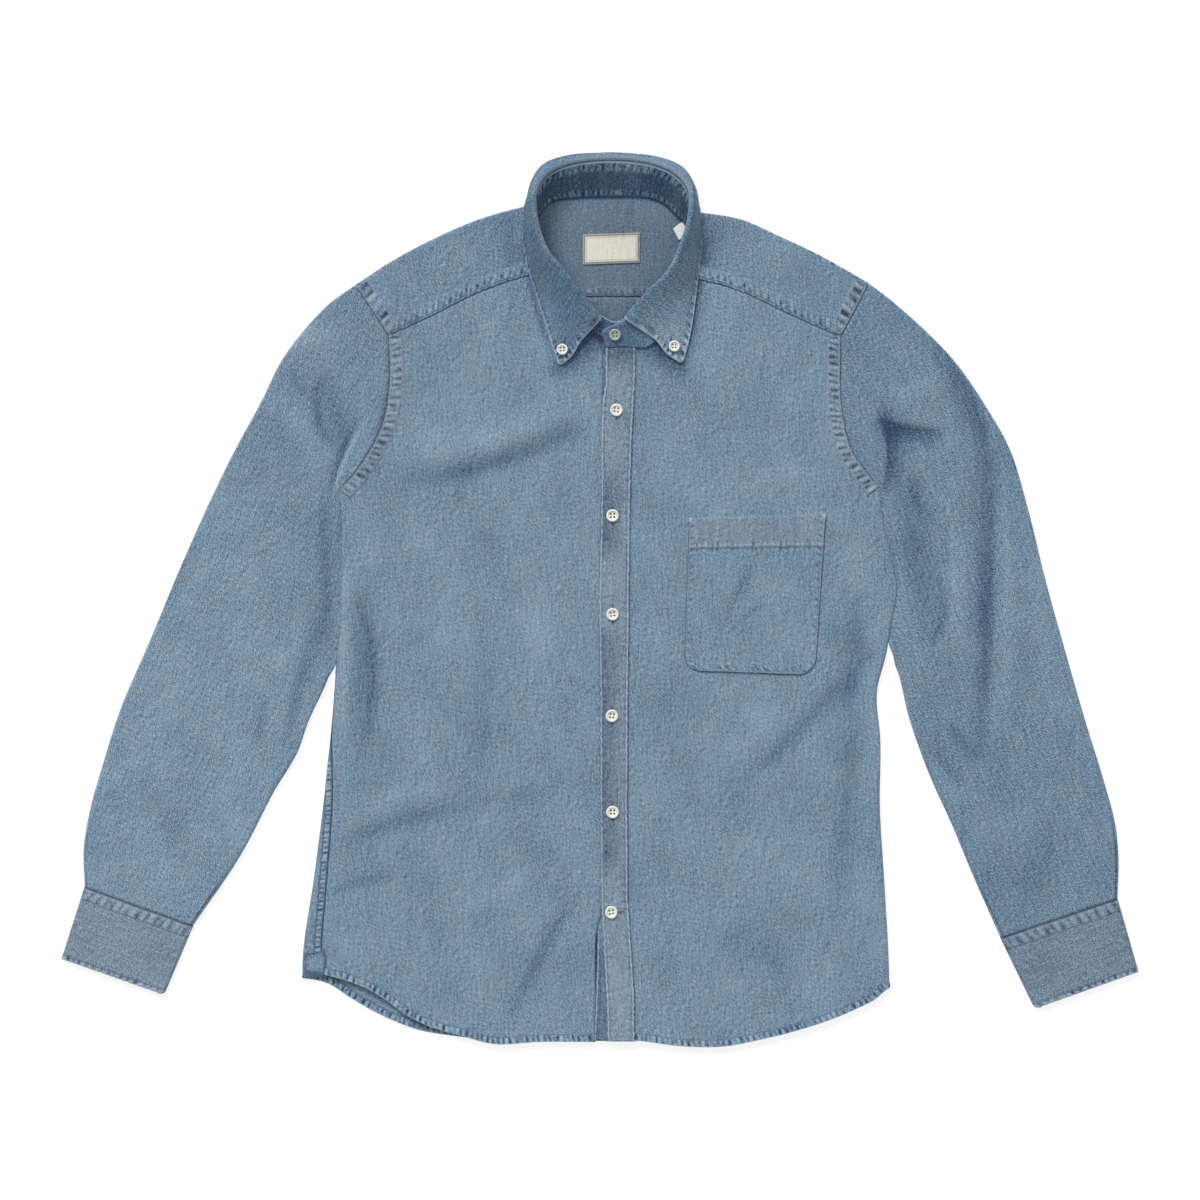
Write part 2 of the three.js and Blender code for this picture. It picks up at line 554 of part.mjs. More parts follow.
// The yoke runs from the front seams over the shoulders to the straight seam on the back.
function yoke() {
  const BACK_ROWS = 3;
  const FRONT_ROWS = YOKE_FRONT_NODE;
  const NECK_COLS = 7;
  const shoulderBlock = (side) => {
    const arm = armhole(side);
    const frontSeam = along(YOKE_SEAM[side], YOKE_STEPS);
    const fold = along(SHOULDER[side], YOKE_STEPS);
    const neck = along(NECK_SIDE[side], FRONT_ROWS);
    const front = patch(arm.slice(0, YOKE_FRONT_NODE + 1).reverse(), neck, frontSeam, fold);
    const backSeam = along([arm[YOKE_BACK_NODE].toArray(), [NECK_SIDE[side][0][0], BACK_SEAM_Y]], YOKE_STEPS);
    const backArm = along([arm[0].toArray(), arm[YOKE_BACK_NODE].toArray()], BACK_ROWS);
    const backNeck = along([fold.at(-1).toArray(), backSeam.at(-1).toArray()], BACK_ROWS);
    const back = patch(backArm, backNeck, fold, backSeam);
    const cols = [];
    for (let c = 0; c <= YOKE_STEPS; c++) {
      const inside = front[FRONT_ROWS - 1][c];
      const bend = turn(fold[c], inside, TOP);
      cols.push([
        ...front.slice(0, FRONT_ROWS).map((row) => vec3(row[c].x, row[c].y, upper(row[c].x, row[c].y))),
        ...bend,
        ...back.slice(1).map((row) => vec3(row[c].x, row[c].y, FLOOR)),
      ]);
    }
    return cols;
  };
  const right = shoulderBlock("right");
  const left = shoulderBlock("left");
  const neckRow = FRONT_ROWS + TURN_STEPS;
  const neckLine = along(NECK_BACK, NECK_COLS);
  const middle = [];
  for (let c = 1; c < NECK_COLS; c++) {
    const points = [];
    const x = THREE.MathUtils.lerp(NECK_SIDE.right[0][0], NECK_SIDE.left[0][0], c / NECK_COLS);
    for (let r = 0; r < neckRow; r++) points.push(vec3(0, 0, 0));
    for (let r = 0; r <= BACK_ROWS; r++) {
      const p = neckLine[c].clone().lerp(new THREE.Vector2(x, BACK_SEAM_Y), r / BACK_ROWS);
      points.push(vec3(p.x, p.y, FLOOR));
    }
    middle.push(points);
  }
  const grid = [...right, ...middle, ...left.reverse()];
  const from = YOKE_STEPS;
  const to = YOKE_STEPS + NECK_COLS;
  drawBack(grid[0], grid[1]);
  drawBack(grid.at(-1), grid.at(-2));
  for (const [c, points] of grid.entries()) {
    if (c <= from || c >= to) drawBack([points[0]], [points[1]]);
    drawBack([points.at(-1)], [points.at(-2)]);
  }
  return wall(grid, CLOTH, { keep: (c, r) => c < from || c >= to || r >= neckRow });
}

// Collar: band and leaf are both drawn through the sections of the table.
function collarLine(rows, x, y, z) {
  return new THREE.CatmullRomCurve3(rows.map((row) => vec3(row[x], row[y], row[z])), false, "centripetal");
}

function collarStand() {
  const rows = [BAND_END[0], BAND_END[1], ...COLLAR, BAND_END[2], BAND_END[3]];
  const base = collarLine(rows, "bx", "by", "bz");
  const top = collarLine(rows, "tx", "ty", "tz");
  const steps = 2 * (rows.length - 1);
  const grid = [];
  for (let k = 0; k <= steps; k++) {
    const a = base.getPoint(k / steps);
    const b = top.getPoint(k / steps);
    grid.push([0, 0.5, 1].map((t) => a.clone().lerp(b, t)));
  }
  return wall(grid, FUSED);
}

function collarLeaf() {
  const base = collarLine(COLLAR, "bx", "by", "bz");
  const top = collarLine(COLLAR, "tx", "ty", "tz");
  const middle = collarLine(COLLAR, "mx", "my", "mz");
  const edge = collarLine(COLLAR, "ex", "ey", "ez");
  const steps = 2 * (COLLAR.length - 1);
  const grid = [];
  for (let k = 0; k <= steps; k++) {
    const t = k / steps;
    const start = top.getPoint(t);
    const rise = start.clone().sub(base.getPoint(t)).normalize();
    const outward = rise.clone().cross(top.getTangent(t)).normalize();
    const seam = start.clone().addScaledVector(rise, SEAM + CLEAR);
    const crest = seam.clone().addScaledVector(rise, LEAF_RISE);
    const over = crest.clone().addScaledVector(rise, LEAF_TURN).addScaledVector(outward, LEAF_TURN);
    const down = crest.clone().addScaledVector(outward, 2 * LEAF_TURN);
    const mid = middle.getPoint(t);
    const end = edge.getPoint(t);
    grid.push([seam, crest, over, down, mid, mid.clone().lerp(end, 0.5), end]);
  }
  return wall(grid, FUSED);
}

// A strip down the centre front between two edge lines.
function frontStrip(lineOf, yTop, yBottom, lift, thickness) {
  const rows = 18;
  const grid = [];
  for (let r = 0; r <= rows; r++) {
    const y = THREE.MathUtils.lerp(yTop, yBottom, r / rows);
    const [from, to] = [lineOf("left")(y), lineOf("right")(y)];
    grid.push([0, 1].map((t) => {
      const x = THREE.MathUtils.lerp(from, to, t);
      return vec3(x, y, upper(CENTRE_FRONT, y) + lift);
    }));
  }
  return wall(grid, thickness);
}

// A patch between four corners, given clockwise from the upper left.
function cornerPatch(corners, cols, rows, height, thickness) {
  const [a, b, c, d] = corners.map(vec2);
  const grid = [];
  for (let r = 0; r <= rows; r++) {
    const left = a.clone().lerp(d, r / rows);
    const right = b.clone().lerp(c, r / rows);
    grid.push(Array.from({ length: cols + 1 }, (_, k) => {
      const p = left.clone().lerp(right, k / cols);
      return vec3(p.x, p.y, height(p.x, p.y));
    }));
  }
  return wall(grid, thickness);
}

// The pocket's foot corners are rounded by drawing its lower rows in.
function pocket() {
  const { topLeft, topRight, footLeft, footRight, round, band } = POCKET;
  const depth = topLeft[1] - footLeft[1];
  const plainRows = [1, 2, 3].map((k) => band + (k * (depth - round - band)) / 4);
  const roundedRows = [1, 0.55, 0.22, 0.05, 0].map((share) => depth - round * share);
  const rowDepths = [0, band / 2, band, ...plainRows, ...roundedRows];
  const cols = 8;
  const grid = rowDepths.map((d) => {
    const left = vec2(topLeft).lerp(vec2(footLeft), d / depth);
    const right = vec2(topRight).lerp(vec2(footRight), d / depth);
    const past = Math.max(0, d - (depth - round));
    const drawIn = round - Math.sqrt(Math.max(0, round * round - past * past));
    left.x += drawIn;
    right.x -= drawIn;
    const wallHere = d <= band ? POCKET_BAND_WALL : POCKET_WALL;
    const lift = CLOTH / 2 + SEAM + CLEAR + POCKET_BAND_WALL / 2;
    return Array.from({ length: cols + 1 }, (_, k) => {
      const p = left.clone().lerp(right, k / cols);
      return vec3(p.x, p.y, upper(p.x, p.y) + lift + (wallHere - POCKET_BAND_WALL) / 2);
    });
  });
  return wall(grid, POCKET_WALL);
}

// Four-hole shirt button with a raised rim and a dished middle.
const wasm = await Module();
wasm.setup();
function solidOf(geometry) {
  geometry.deleteAttribute("normal");
  geometry.deleteAttribute("uv");
  const merged = mergeVertices(geometry, 1e-4);
  return new wasm.Manifold(new wasm.Mesh({
    numProp: 3,
    vertProperties: merged.attributes.position.array,
    triVerts: merged.index.array,
  }));
}

function button(radius) {
  const height = BUTTON_HEIGHT;
  const outline = [[0, 0], [radius * 0.8, 0], [radius, height * 0.5], [radius * 0.85, height],
    [radius * 0.6, height * 0.62], [0, height * 0.55]];
  const disc = new THREE.LatheGeometry(outline.map(vec2), 12);
  disc.rotateX(Math.PI / 2);
  let solid = solidOf(disc);
  const holeAt = radius * 0.26;
  for (const [sx, sy] of [[1, 1], [-1, 1], [-1, -1], [1, -1]]) {
    const hole = new THREE.CylinderGeometry(radius * 0.13, radius * 0.13, height * 3, 4);
    hole.rotateX(Math.PI / 2);
    hole.translate(sx * holeAt, sy * holeAt, 0);
    solid = solid.subtract(solidOf(hole));
  }
  const { vertProperties, triVerts } = solid.getMesh();
  return closedGeometry(Array.from(vertProperties), Array.from(triVerts));
}

const shirt = new THREE.Group();
function add(name, geometry, colour, roughness = 0.9) {
  const material = new THREE.MeshStandardMaterial({ color: colour, roughness, metalness: 0 });
  const mesh = new THREE.Mesh(geometry, material);
  mesh.name = name;
  shirt.add(mesh);
  return mesh;
}

add("back", backPanel(), COLOURS.chambray);
add("yoke", yoke(), COLOURS.chambray);
for (const side of ["right", "left"]) {
  add(`front_${side}`, frontPanel(side), COLOURS.chambray);
  add(`sleeve_${side}`, sleeve(side), COLOURS.chambray);
  add(`cuff_${side}`, cuff(side), COLOURS.band);
}
const bandLine = (side) => () => BUTTON_BAND[side];
const placketLine = (side) => (y) => atY(PLACKET, side, y);
const placketEnds = [PLACKET[0].y, PLACKET.at(-1).y];
add("button_band", frontStrip(bandLine, BUTTON_BAND.top, BUTTON_BAND.bottom, 0, CLOTH), COLOURS.band);
add("front_placket", frontStrip(placketLine, ...placketEnds, PLACKET_LIFT, BAND), COLOURS.band);
add("pocket", pocket(), COLOURS.band);
add("collar_stand", collarStand(), COLOURS.collar);
add("collar_leaf", collarLeaf(), COLOURS.collar);

const onYoke = (piece) => () => CLOTH + SEAM + piece.wall / 2;
add("label", cornerPatch(LABEL.corners, 4, 2, onYoke(LABEL), LABEL.wall), COLOURS.label);
add("size_tab", cornerPatch(SIZE_TAB.corners, 2, 2, onYoke(SIZE_TAB), SIZE_TAB.wall), COLOURS.tab);
const gussetCorners = [[GUSSET.left, GUSSET.top], [GUSSET.right, GUSSET.top], [GUSSET.right, GUSSET.foot],
  [GUSSET.left, GUSSET.foot]];
const onFront = (x, y) => upper(x, y) + CLOTH / 2 + SEAM + CLEAR + GUSSET.wall / 2;
add("gusset", cornerPatch(gussetCorners, 3, 3, onFront, GUSSET.wall), COLOURS.chambray);

FRONT_BUTTONS.forEach(({ x, y }, i) => {
  const mesh = add(`button_front_${i + 1}`, button(BUTTON_RADIUS), COLOURS.button, 0.35);
  mesh.position.set(x, y, upper(CENTRE_FRONT, y) + PLACKET_LIFT + BAND / 2 + SEAM);
});
for (const { name, x, y, seat, slopeX, slopeY } of COLLAR_BUTTONS) {
  const mesh = add(name, button(POINT_BUTTON_RADIUS), COLOURS.button, 0.35);
  mesh.position.set(x, y, seat);
  mesh.quaternion.setFromUnitVectors(vec3(0, 0, 1), vec3(-slopeX, -slopeY, 1).normalize());
}

export default shirt;
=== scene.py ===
import bpy
import numpy as np
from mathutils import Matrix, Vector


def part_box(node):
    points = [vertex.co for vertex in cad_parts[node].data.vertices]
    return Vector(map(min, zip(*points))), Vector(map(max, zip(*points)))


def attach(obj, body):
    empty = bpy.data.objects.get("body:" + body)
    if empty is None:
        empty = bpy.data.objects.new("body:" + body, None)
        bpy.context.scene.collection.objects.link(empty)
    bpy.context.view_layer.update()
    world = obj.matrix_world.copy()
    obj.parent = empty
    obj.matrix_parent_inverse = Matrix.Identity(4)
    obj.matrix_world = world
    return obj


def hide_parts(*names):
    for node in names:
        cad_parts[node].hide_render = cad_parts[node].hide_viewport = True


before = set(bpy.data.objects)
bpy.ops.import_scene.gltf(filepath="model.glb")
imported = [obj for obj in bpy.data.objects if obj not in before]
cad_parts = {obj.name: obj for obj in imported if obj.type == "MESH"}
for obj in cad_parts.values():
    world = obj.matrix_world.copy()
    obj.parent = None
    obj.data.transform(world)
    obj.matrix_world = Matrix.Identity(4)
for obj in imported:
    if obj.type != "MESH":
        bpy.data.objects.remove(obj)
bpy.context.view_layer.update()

# Camera: straight above the middle of the shirt, on a long lens that hardly draws any perspective.
VIEW_WIDTH = 1116
CAMERA_HEIGHT = 6000
SHIRT_TOP = 5
SENSOR_WIDTH = 36


def placed(name, data):
    """A new object in the scene."""
    thing = bpy.data.objects.new(name, data)
    bpy.context.scene.collection.objects.link(thing)
    return thing


camera_data = bpy.data.cameras.new("camera")
camera_data.sensor_width = SENSOR_WIDTH
camera_data.lens = SENSOR_WIDTH * (CAMERA_HEIGHT - SHIRT_TOP) / VIEW_WIDTH
camera_data.clip_end = 30
camera = placed("camera", camera_data)
camera.location = (0, 0, CAMERA_HEIGHT / 1000)
bpy.context.scene.camera = camera

# Studio: a white table under two wide soft lights, far enough away to be even all over, with a
# pale room round it that fills the shadows.
bpy.context.scene.view_settings.view_transform = "Standard"


def set_inputs(made, values):
    """Sets inputs of a shader node."""
    for socket, value in values.items():
        made.inputs[socket].default_value = value


def new_material(name, values):
    """A material, its tree, and its surface with values set on it."""
    material = bpy.data.materials.new(name)
    material.use_nodes = True
    surface = material.node_tree.nodes["Principled BSDF"]
    set_inputs(surface, values)
    return material, material.node_tree, surface


def soft_light(name, place, spread, strength):
    """A wide, even light that shines from place towards the middle of the table."""
    data = bpy.data.lights.new(name, "SUN")
    data.angle = np.radians(spread)
    data.energy = strength
    light = placed(name, data)
    light.location = place
    light.rotation_euler = light.location.to_track_quat("Z", "Y").to_euler()


soft_light("key", (-0.9, 2.1, 1.75), 20, 2.45)
soft_light("overhead", (0.3, -0.4, 3.0), 60, 0.55)
room = bpy.data.worlds.new("room")
room.use_nodes = True
set_inputs(room.node_tree.nodes["Background"], {"Color": (1, 1, 1, 1), "Strength": 0.38})
bpy.context.scene.world = room

table_mesh = bpy.data.meshes.new("table")
table_mesh.from_pydata([(-6, -6, 0), (6, -6, 0), (6, 6, 0), (-6, 6, 0)], [], [(0, 1, 2, 3)])
table_top = placed("table", table_mesh)
table_paint = {"Base Color": (0.25, 0.25, 0.25, 1), "Roughness": 0.8,
               "Emission Color": (1, 1, 1, 1), "Emission Strength": 0.78}
table_mesh.materials.append(new_material("white_table", table_paint)[0])

# Back panel: one piece of chambray from the yoke seam to the curved shirt-tail hem. It lies on the
# table under everything, and its right side comes round the edge to the front.
FLOOR = 0.6
ROLL = 2.2
TOP = FLOOR + 2 * ROLL
LOWEST_UPPER = 2.3
SHEET = 0.8
QUARTER = np.pi * ROLL / 2

BODY = np.array([
    # y, right edge, left edge, drop of the right side seam, drop of the left one
    [100, -243, 260, QUARTER, QUARTER],
    [90, -241.5, 261.5, QUARTER, QUARTER],
    [70, -239.5, 264, QUARTER, QUARTER + 4],
    [40, -240, 271, QUARTER, QUARTER + 10],
    [10, -240, 276, QUARTER, QUARTER + 11],
    [-20, -241, 271, QUARTER, QUARTER + 11],
    [-50, -244, 266, QUARTER, QUARTER + 11],
    [-84, -246, 257.5, QUARTER, QUARTER + 11],
    [-130, -250, 260.5, 1, QUARTER + 11],
    [-190, -257, 260, -6, QUARTER + 11],
    [-260, -266, 264, -10, QUARTER + 11],
    [-330, -276, 268, -15, QUARTER + 11],
    [-360, -277, 269, -16, QUARTER + 11],
])
RIGHT_EDGE, LEFT_EDGE, RIGHT_DROP, LEFT_DROP = 1, 2, 3, 4
ARMHOLE_HEAD = {
    "right": [[-227, 293], [-220, 283], [-208, 265], [-196, 247]],
    "left": [[249, 295], [243, 283], [233, 264], [223, 246]],
}
ARMHOLE_REST = {
    "right": [[-195, 202], [-203, 160], [-226, 120], [-243, 101]],
    "left": [[224, 179], [233, 140], [247, 119], [260, 103]],
}
UNDERARM_Y = 92
BACK_HEM = [[-255, -356], [-234, -369], [-212, -382], [-191, -392], [-169, -400], [-141, -405],
            [-98, -409], [0, -407], [100, -409], [178, -396], [225, -378]]
BACK_HEM_ENDS = {"right": -350, "left": -360}

# Folds of the cloth: a chord, the sideways bow of its middle, its half width, height, the shade painted
# along it (painted light where above 0), and how much softer its left side is than its right, seen along
# the chord.
FOLDS = np.array([
    # right chest and side
    [-186, 138, -12, 196, -18, 20, 3.2, 0.4, 0],
    [-188, 108, -5, 166, -9, 9, -1.4, -0.95, 0.2],
    [-214, 30, -223, -140, 0, 12, -1.8, -0.55, 0],
    [-232, 15, -234, -165, 22, 5, -0.8, -0.6, 0.2],
    [-236, 40, -240, -140, 0, 6, 0.4, 0.5, 0],
    [-246, -230, -120, -192, 5, 7, -1.2, -0.7, 0],
    [-256, -274, -190, -257, 3, 5, -0.8, -0.6, 0],
    [-125, -200, -38, -176, 4, 8, -0.6, -0.35, 0],
    [-240, -205, -130, -172, 6, 9, 1.0, 0.3, 0],
    [-22, -270, -86, -392, 0, 7, -1.6, -0.75, 0],
    [-112, -5, -110, -190, 0, 13, 0, -0.3, 0],
    [-44, 40, -70, -120, 0, 16, 0, 0.25, 0],
    [-150, 60, -150, -60, 0, 26, 0, 0.2, 0],
    [-150, -300, -60, -250, 0, 9, 0.6, 0.3, 0],
    # left side
    [232, -70, 219, -285, 6, 11, -1.8, -0.55, 0],
    [242, 10, 233, -92, 0, 9, -0.8, -0.6, 0],
    [256, -45, 226, -104, -4, 7, -1.6, -0.5, 0],
    [132, -172, 234, -66, -4, 8, -1.4, -0.65, 0],
    [100, -160, 190, -90, 0, 14, 0.8, 0.25, 0],
    [148, 44, 118, -12, 0, 4, -0.2, -0.6, 0],
    [152, -2, 128, -22, 0, 3.5, -0.2, -0.5, 0],
    [100, -300, 180, -350, 0, 14, 0, -0.25, 0],
    # painted shade beside the collar, and the painted shadow that its leaves lay on the fronts
    [-90, 372, -78, 300, 0, 11, 0, -0.6, 0],
    [109, 368, 99, 296, 0, 11, 0, -0.5, 0],
    [94, 340, 77, 218, 3, 3.5, 0, -1.4, 0.6],
    [-71, 338, -39, 217, -4, 3, 0, -1.1, -0.5],
    [-48, 210, 14, 272, 0, 10, 0, -2.0, -0.6],
    [12, 274, 86, 211, 0, 9, 0, -2.0, -0.6],
    # right sleeve
    [-262, 214, -236, 120, 6, 9, -2.6, -0.5, 0],
    [-258, 212, -244, 136, -11, 5, -1.5, -0.8, 0],
    [-287, 224, -272, 188, -3, 5, -0.8, -0.5, 0],
    [-222, 170, -251, 98, -3, 3.4, -0.9, -1.2, -0.4],
    [-218, 168, -247, 99, -3, 2.4, 1.0, 0.9, 0],
    [-300, 235, -240, 246, 0, 13, 2.2, 0.4, 0],
    [-310, 190, -262, 120, 8, 10, 1.2, 0.35, 0],
    [-377, 75, -404, -10, 0, 10, -1.4, -0.45, 0],
    [-256, 102, -254, -50, 0, 7, -1.0, -0.7, 0],
    [-260, 0, -275, -80, 3, 9, -2.2, -0.55, 0],
    [-274, -50, -292, -140, 0, 6, -1.0, -0.6, 0],
    [-311, -90, -319, -138, 0, 5, -0.7, -0.55, 0],
    [-430, -150, -380, -250, 0, 12, 0, -0.3, 0],
    # left sleeve
    [262, 188, 330, 208, -4, 12, 2.4, 0.3, 0],
    [254, 171, 322, 158, -4, 8, -3.0, -1.5, -0.8],
    [257, 178, 262, 98, 8, 7, -2.4, -1.6, 0.85],
    [276, 116, 302, -45, 8, 12, -3.0, -0.5, 0],
    [288, 116, 302, 68, 0, 6, -1.2, -0.7, 0.2],
    [319, 74, 323, 28, 0, 4, -0.8, -0.5, 0],
    [312, 26, 308, -46, 9, 5, -1.0, -0.7, 0],
    [302, 246, 364, 110, 14, 8, -3.0, -0.9, -0.3],
    [362, 134, 354, -150, 4, 8, -3.0, -1.0, -0.4],
    [376, 130, 374, -130, 4, 9, 1.0, 0.45, 0],
    [326, 120, 336, -60, 0, 13, 2.2, 0.45, 0],
    [400, 60, 430, -120, 0, 16, 0, 0.25, 0],
    [308, -136, 338, -174, 0, 5, -0.8, -0.6, 0],
    [322, -112, 350, -150, 0, 5, -0.6, -0.5, 0],
    [420, -180, 400, -290, 0, 14, 0, -0.3, 0],
])
CENTRE_FRONT = 12
# The cloth lies flat under the placket and the pocket, and its folds fade in over these distances.
PLACKET_FLAT = (22, 46)
POCKET_MIDDLE = (142, 5)
POCKET_HALF = (66, 76)
POCKET_FADE = 22


def ease(x, low, high):
    """0 up to low, 1 from high on, and smooth between."""
    t = np.clip((x - low) / (high - low), 0, 1)
    return t * t * (3 - 2 * t)


def bell(distance, width):
    """1 on a line, fading away over about two widths."""
    return np.exp(-((distance / width) ** 2))


def unit(vectors):
    """The same directions, each of length 1."""
    return vectors / np.maximum(np.linalg.norm(vectors, axis=-1, keepdims=True), 1e-9)


def raised(plan, height):
    """A plan grid lifted to a height, which may differ by point."""
    return np.dstack([plan, np.broadcast_to(height, plan.shape[:2])])


def through(points, stations):
    """A smooth line through points, at stations counted in points from the first one."""
    p = np.asarray(points, float)
    p = np.concatenate([[2 * p[0] - p[1]], p, [2 * p[-1] - p[-2]]])
    stations = np.asarray(stations, float)
    k = np.clip(np.floor(stations).astype(int), 0, len(p) - 4)
    w = (stations - k).reshape((-1,) + (1,) * (p.ndim - 1))
    a, b, c, d = p[k], p[k + 1], p[k + 2], p[k + 3]
    g0, g1, g2 = [np.maximum(np.linalg.norm(q - r, axis=-1, keepdims=True), 1e-6) ** 0.5
                  for q, r in ((b, a), (c, b), (d, c))]
    lead = ((b - a) / g0 - (c - a) / (g0 + g1) + (c - b) / g1) * g1
    trail = ((c - b) / g1 - (d - b) / (g1 + g2) + (d - c) / g2) * g1
    return b + lead * w + (3 * (c - b) - 2 * lead - trail) * w**2 + (2 * (b - c) + lead + trail) * w**3


def runs(line):
    """How far each point of a line is along it."""
    steps = np.linalg.norm(np.diff(line, axis=0), axis=1)
    return np.concatenate([[0], np.cumsum(steps)])


def along(points, shares):
    """Points on the smooth line through points, at shares of its length."""
    stations = np.linspace(0, len(points) - 1, 801)
    run = runs(through(points, stations))
    return through(points, np.interp(np.asarray(shares) * run[-1], run, stations))


def down(column, y):
    """A value of the body table at y, smooth between its rows."""
    heights = BODY[::-1, 0]
    values = BODY[::-1, column]
    slopes = np.gradient(values, heights)
    k = np.clip(np.searchsorted(heights, y) - 1, 0, len(heights) - 2)
    step = heights[k + 1] - heights[k]
    t = np.clip((y - heights[k]) / step, 0, 1)
    rise = values[k + 1] - values[k]
    return (values[k] + rise * t * t * (3 - 2 * t)
            + step * t * (1 - t) * (slopes[k] * (1 - t) - slopes[k + 1] * t))


def folded(x, y):
    """Lift that the folds give the upper layer, and the shade and light painted along them."""
    lift = np.zeros_like(x)
    shade = np.zeros_like(x)
    for x0, y0, x1, y1, bow, half, height, tone, lean in FOLDS:
        length = np.hypot(x1 - x0, y1 - y0)
        cx, cy = (x1 - x0) / length, (y1 - y0) / length
        share = np.clip(((x - x0) * cx + (y - y0) * cy) / length, 0, 1)
        aside = (y - y0) * cx - (x - x0) * cy - bow * 4 * share * (1 - share)
        fade = np.sin(np.pi * share) ** 0.6 * bell(aside, half * (1 + lean * np.sign(aside)))
        lift += height * fade
        shade += tone * fade
    return lift, shade


def upper(x, y, loft=0.0):
    """Height of the middle of the upper layer."""
    lift, _ = folded(x, y)
    from_centre = ease(np.abs(x - CENTRE_FRONT), *PLACKET_FLAT)
    aside = np.abs(x - POCKET_MIDDLE[0]) - POCKET_HALF[0]
    above = np.abs(y - POCKET_MIDDLE[1]) - POCKET_HALF[1]
    from_pocket = ease(np.maximum(aside, above), 0, POCKET_FADE)
    return np.maximum(LOWEST_UPPER, TOP + loft + lift * from_centre * from_pocket)


def rolled(plan, from_top):
    """Plan points laid on one layer and rolled round the body's sides where they run past them."""
    x, y = plan[..., 0], plan[..., 1]
    start = np.clip(x, down(RIGHT_EDGE, y) + ROLL, down(LEFT_EDGE, y) - ROLL)
    arc = np.abs(x - start)
    way = np.sign(x - start)
    turn = np.minimum(arc / ROLL, np.pi)
    beyond = np.maximum(arc - np.pi * ROLL, 0)
    across = start + way * (ROLL * np.sin(turn) - beyond)
    share = (1 + np.cos(turn)) / 2 if from_top else (1 - np.cos(turn)) / 2
    return np.stack([across, y, FLOOR + (upper(across, y) - FLOOR) * share], axis=-1)


def on_top(plan):
    """Plan points on the upper layer, rolled down round the sides."""
    return rolled(plan, True)


def on_table(plan):
    """Plan points on the table, rolled up round the sides."""
    return rolled(plan, False)


def side_seam(side, shares, y_end, on_back):
    """The side seam in the plan of the layer it is laid on, from the underarm to the hem."""
    y = UNDERARM_Y + (y_end - UNDERARM_Y) * shares
    edge, drop, way = (RIGHT_EDGE, RIGHT_DROP, -1) if side == "right" else (LEFT_EDGE, LEFT_DROP, 1)
    arc = np.pi * ROLL - down(drop, y) if on_back else down(drop, y)
    return np.stack([down(edge, y) - way * ROLL + way * arc, y], axis=-1)


ARM_STEPS = 9
SEAM_STEPS = 14


def below_yoke_seam(side, shares):
    """The armhole from the yoke's front seam to the underarm."""
    return along([ARMHOLE_HEAD[side][3]] + ARMHOLE_REST[side], shares)


def panel_side(side, y_end, on_back, head=()):
    """A panel's side from the yoke seam to the hem, with each point's share of the way down."""
    arm_shares = np.linspace(0, 1, 60)
    arm = below_yoke_seam(side, arm_shares)
    seam_shares = np.linspace(0, 1, 150)
    seam = side_seam(side, seam_shares, y_end, on_back)
    steps = ARM_STEPS + 1 + SEAM_STEPS + len(head)
    shares = [(len(head) + arm_shares * ARM_STEPS) / steps,
              (len(head) + ARM_STEPS + 1 + seam_shares * SEAM_STEPS) / steps]
    line = [arm, seam]
    if len(head):
        line.insert(0, np.array(head, float))
        shares.insert(0, np.arange(len(head)) / steps)
    return np.concatenate(line), np.concatenate(shares)


def resampled(line, shares, pitch):
    """The same line at an even pitch."""
    run = runs(line)
    stops = np.linspace(0, run[-1], int(run[-1] / pitch) + 1)
    points = np.stack([np.interp(stops, run, line[:, k]) for k in (0, 1)], axis=-1)
    return points, np.interp(stops, run, shares)


def bulge(line):
    """How far a side departs from its chord, at even shares of the way across."""
    share = np.linspace(0, 1, len(line))[:, None]
    return line - line[0] * (1 - share) - line[-1] * share


def filled(start, end, top, bottom, down_shares, across_shares):
    """Plan grid between two sides, a top and a bottom line. across_shares may differ by row."""
    across = np.broadcast_to(across_shares, (len(start), across_shares.shape[-1]))
    share = down_shares[:, None, None]
    plan = start[:, None] + (end - start)[:, None] * across[..., None]
    for line, weight in ((bulge(top), 1 - share), (bulge(bottom), share)):
        stations = np.linspace(0, 1, len(line))
        offset = np.stack([np.interp(across, stations, line[:, k]) for k in (0, 1)], axis=-1)
        plan = plan + offset * weight
    return plan


def facing(middle):
    """Unit normals of a grid of points."""
    return unit(np.cross(np.gradient(middle, axis=0), np.gradient(middle, axis=1)))


def cells(number):
    """The four corners of each cell of a grid of point numbers."""
    return np.stack([number[:-1, :-1], number[1:, :-1], number[1:, 1:], number[:-1, 1:]], axis=-1)


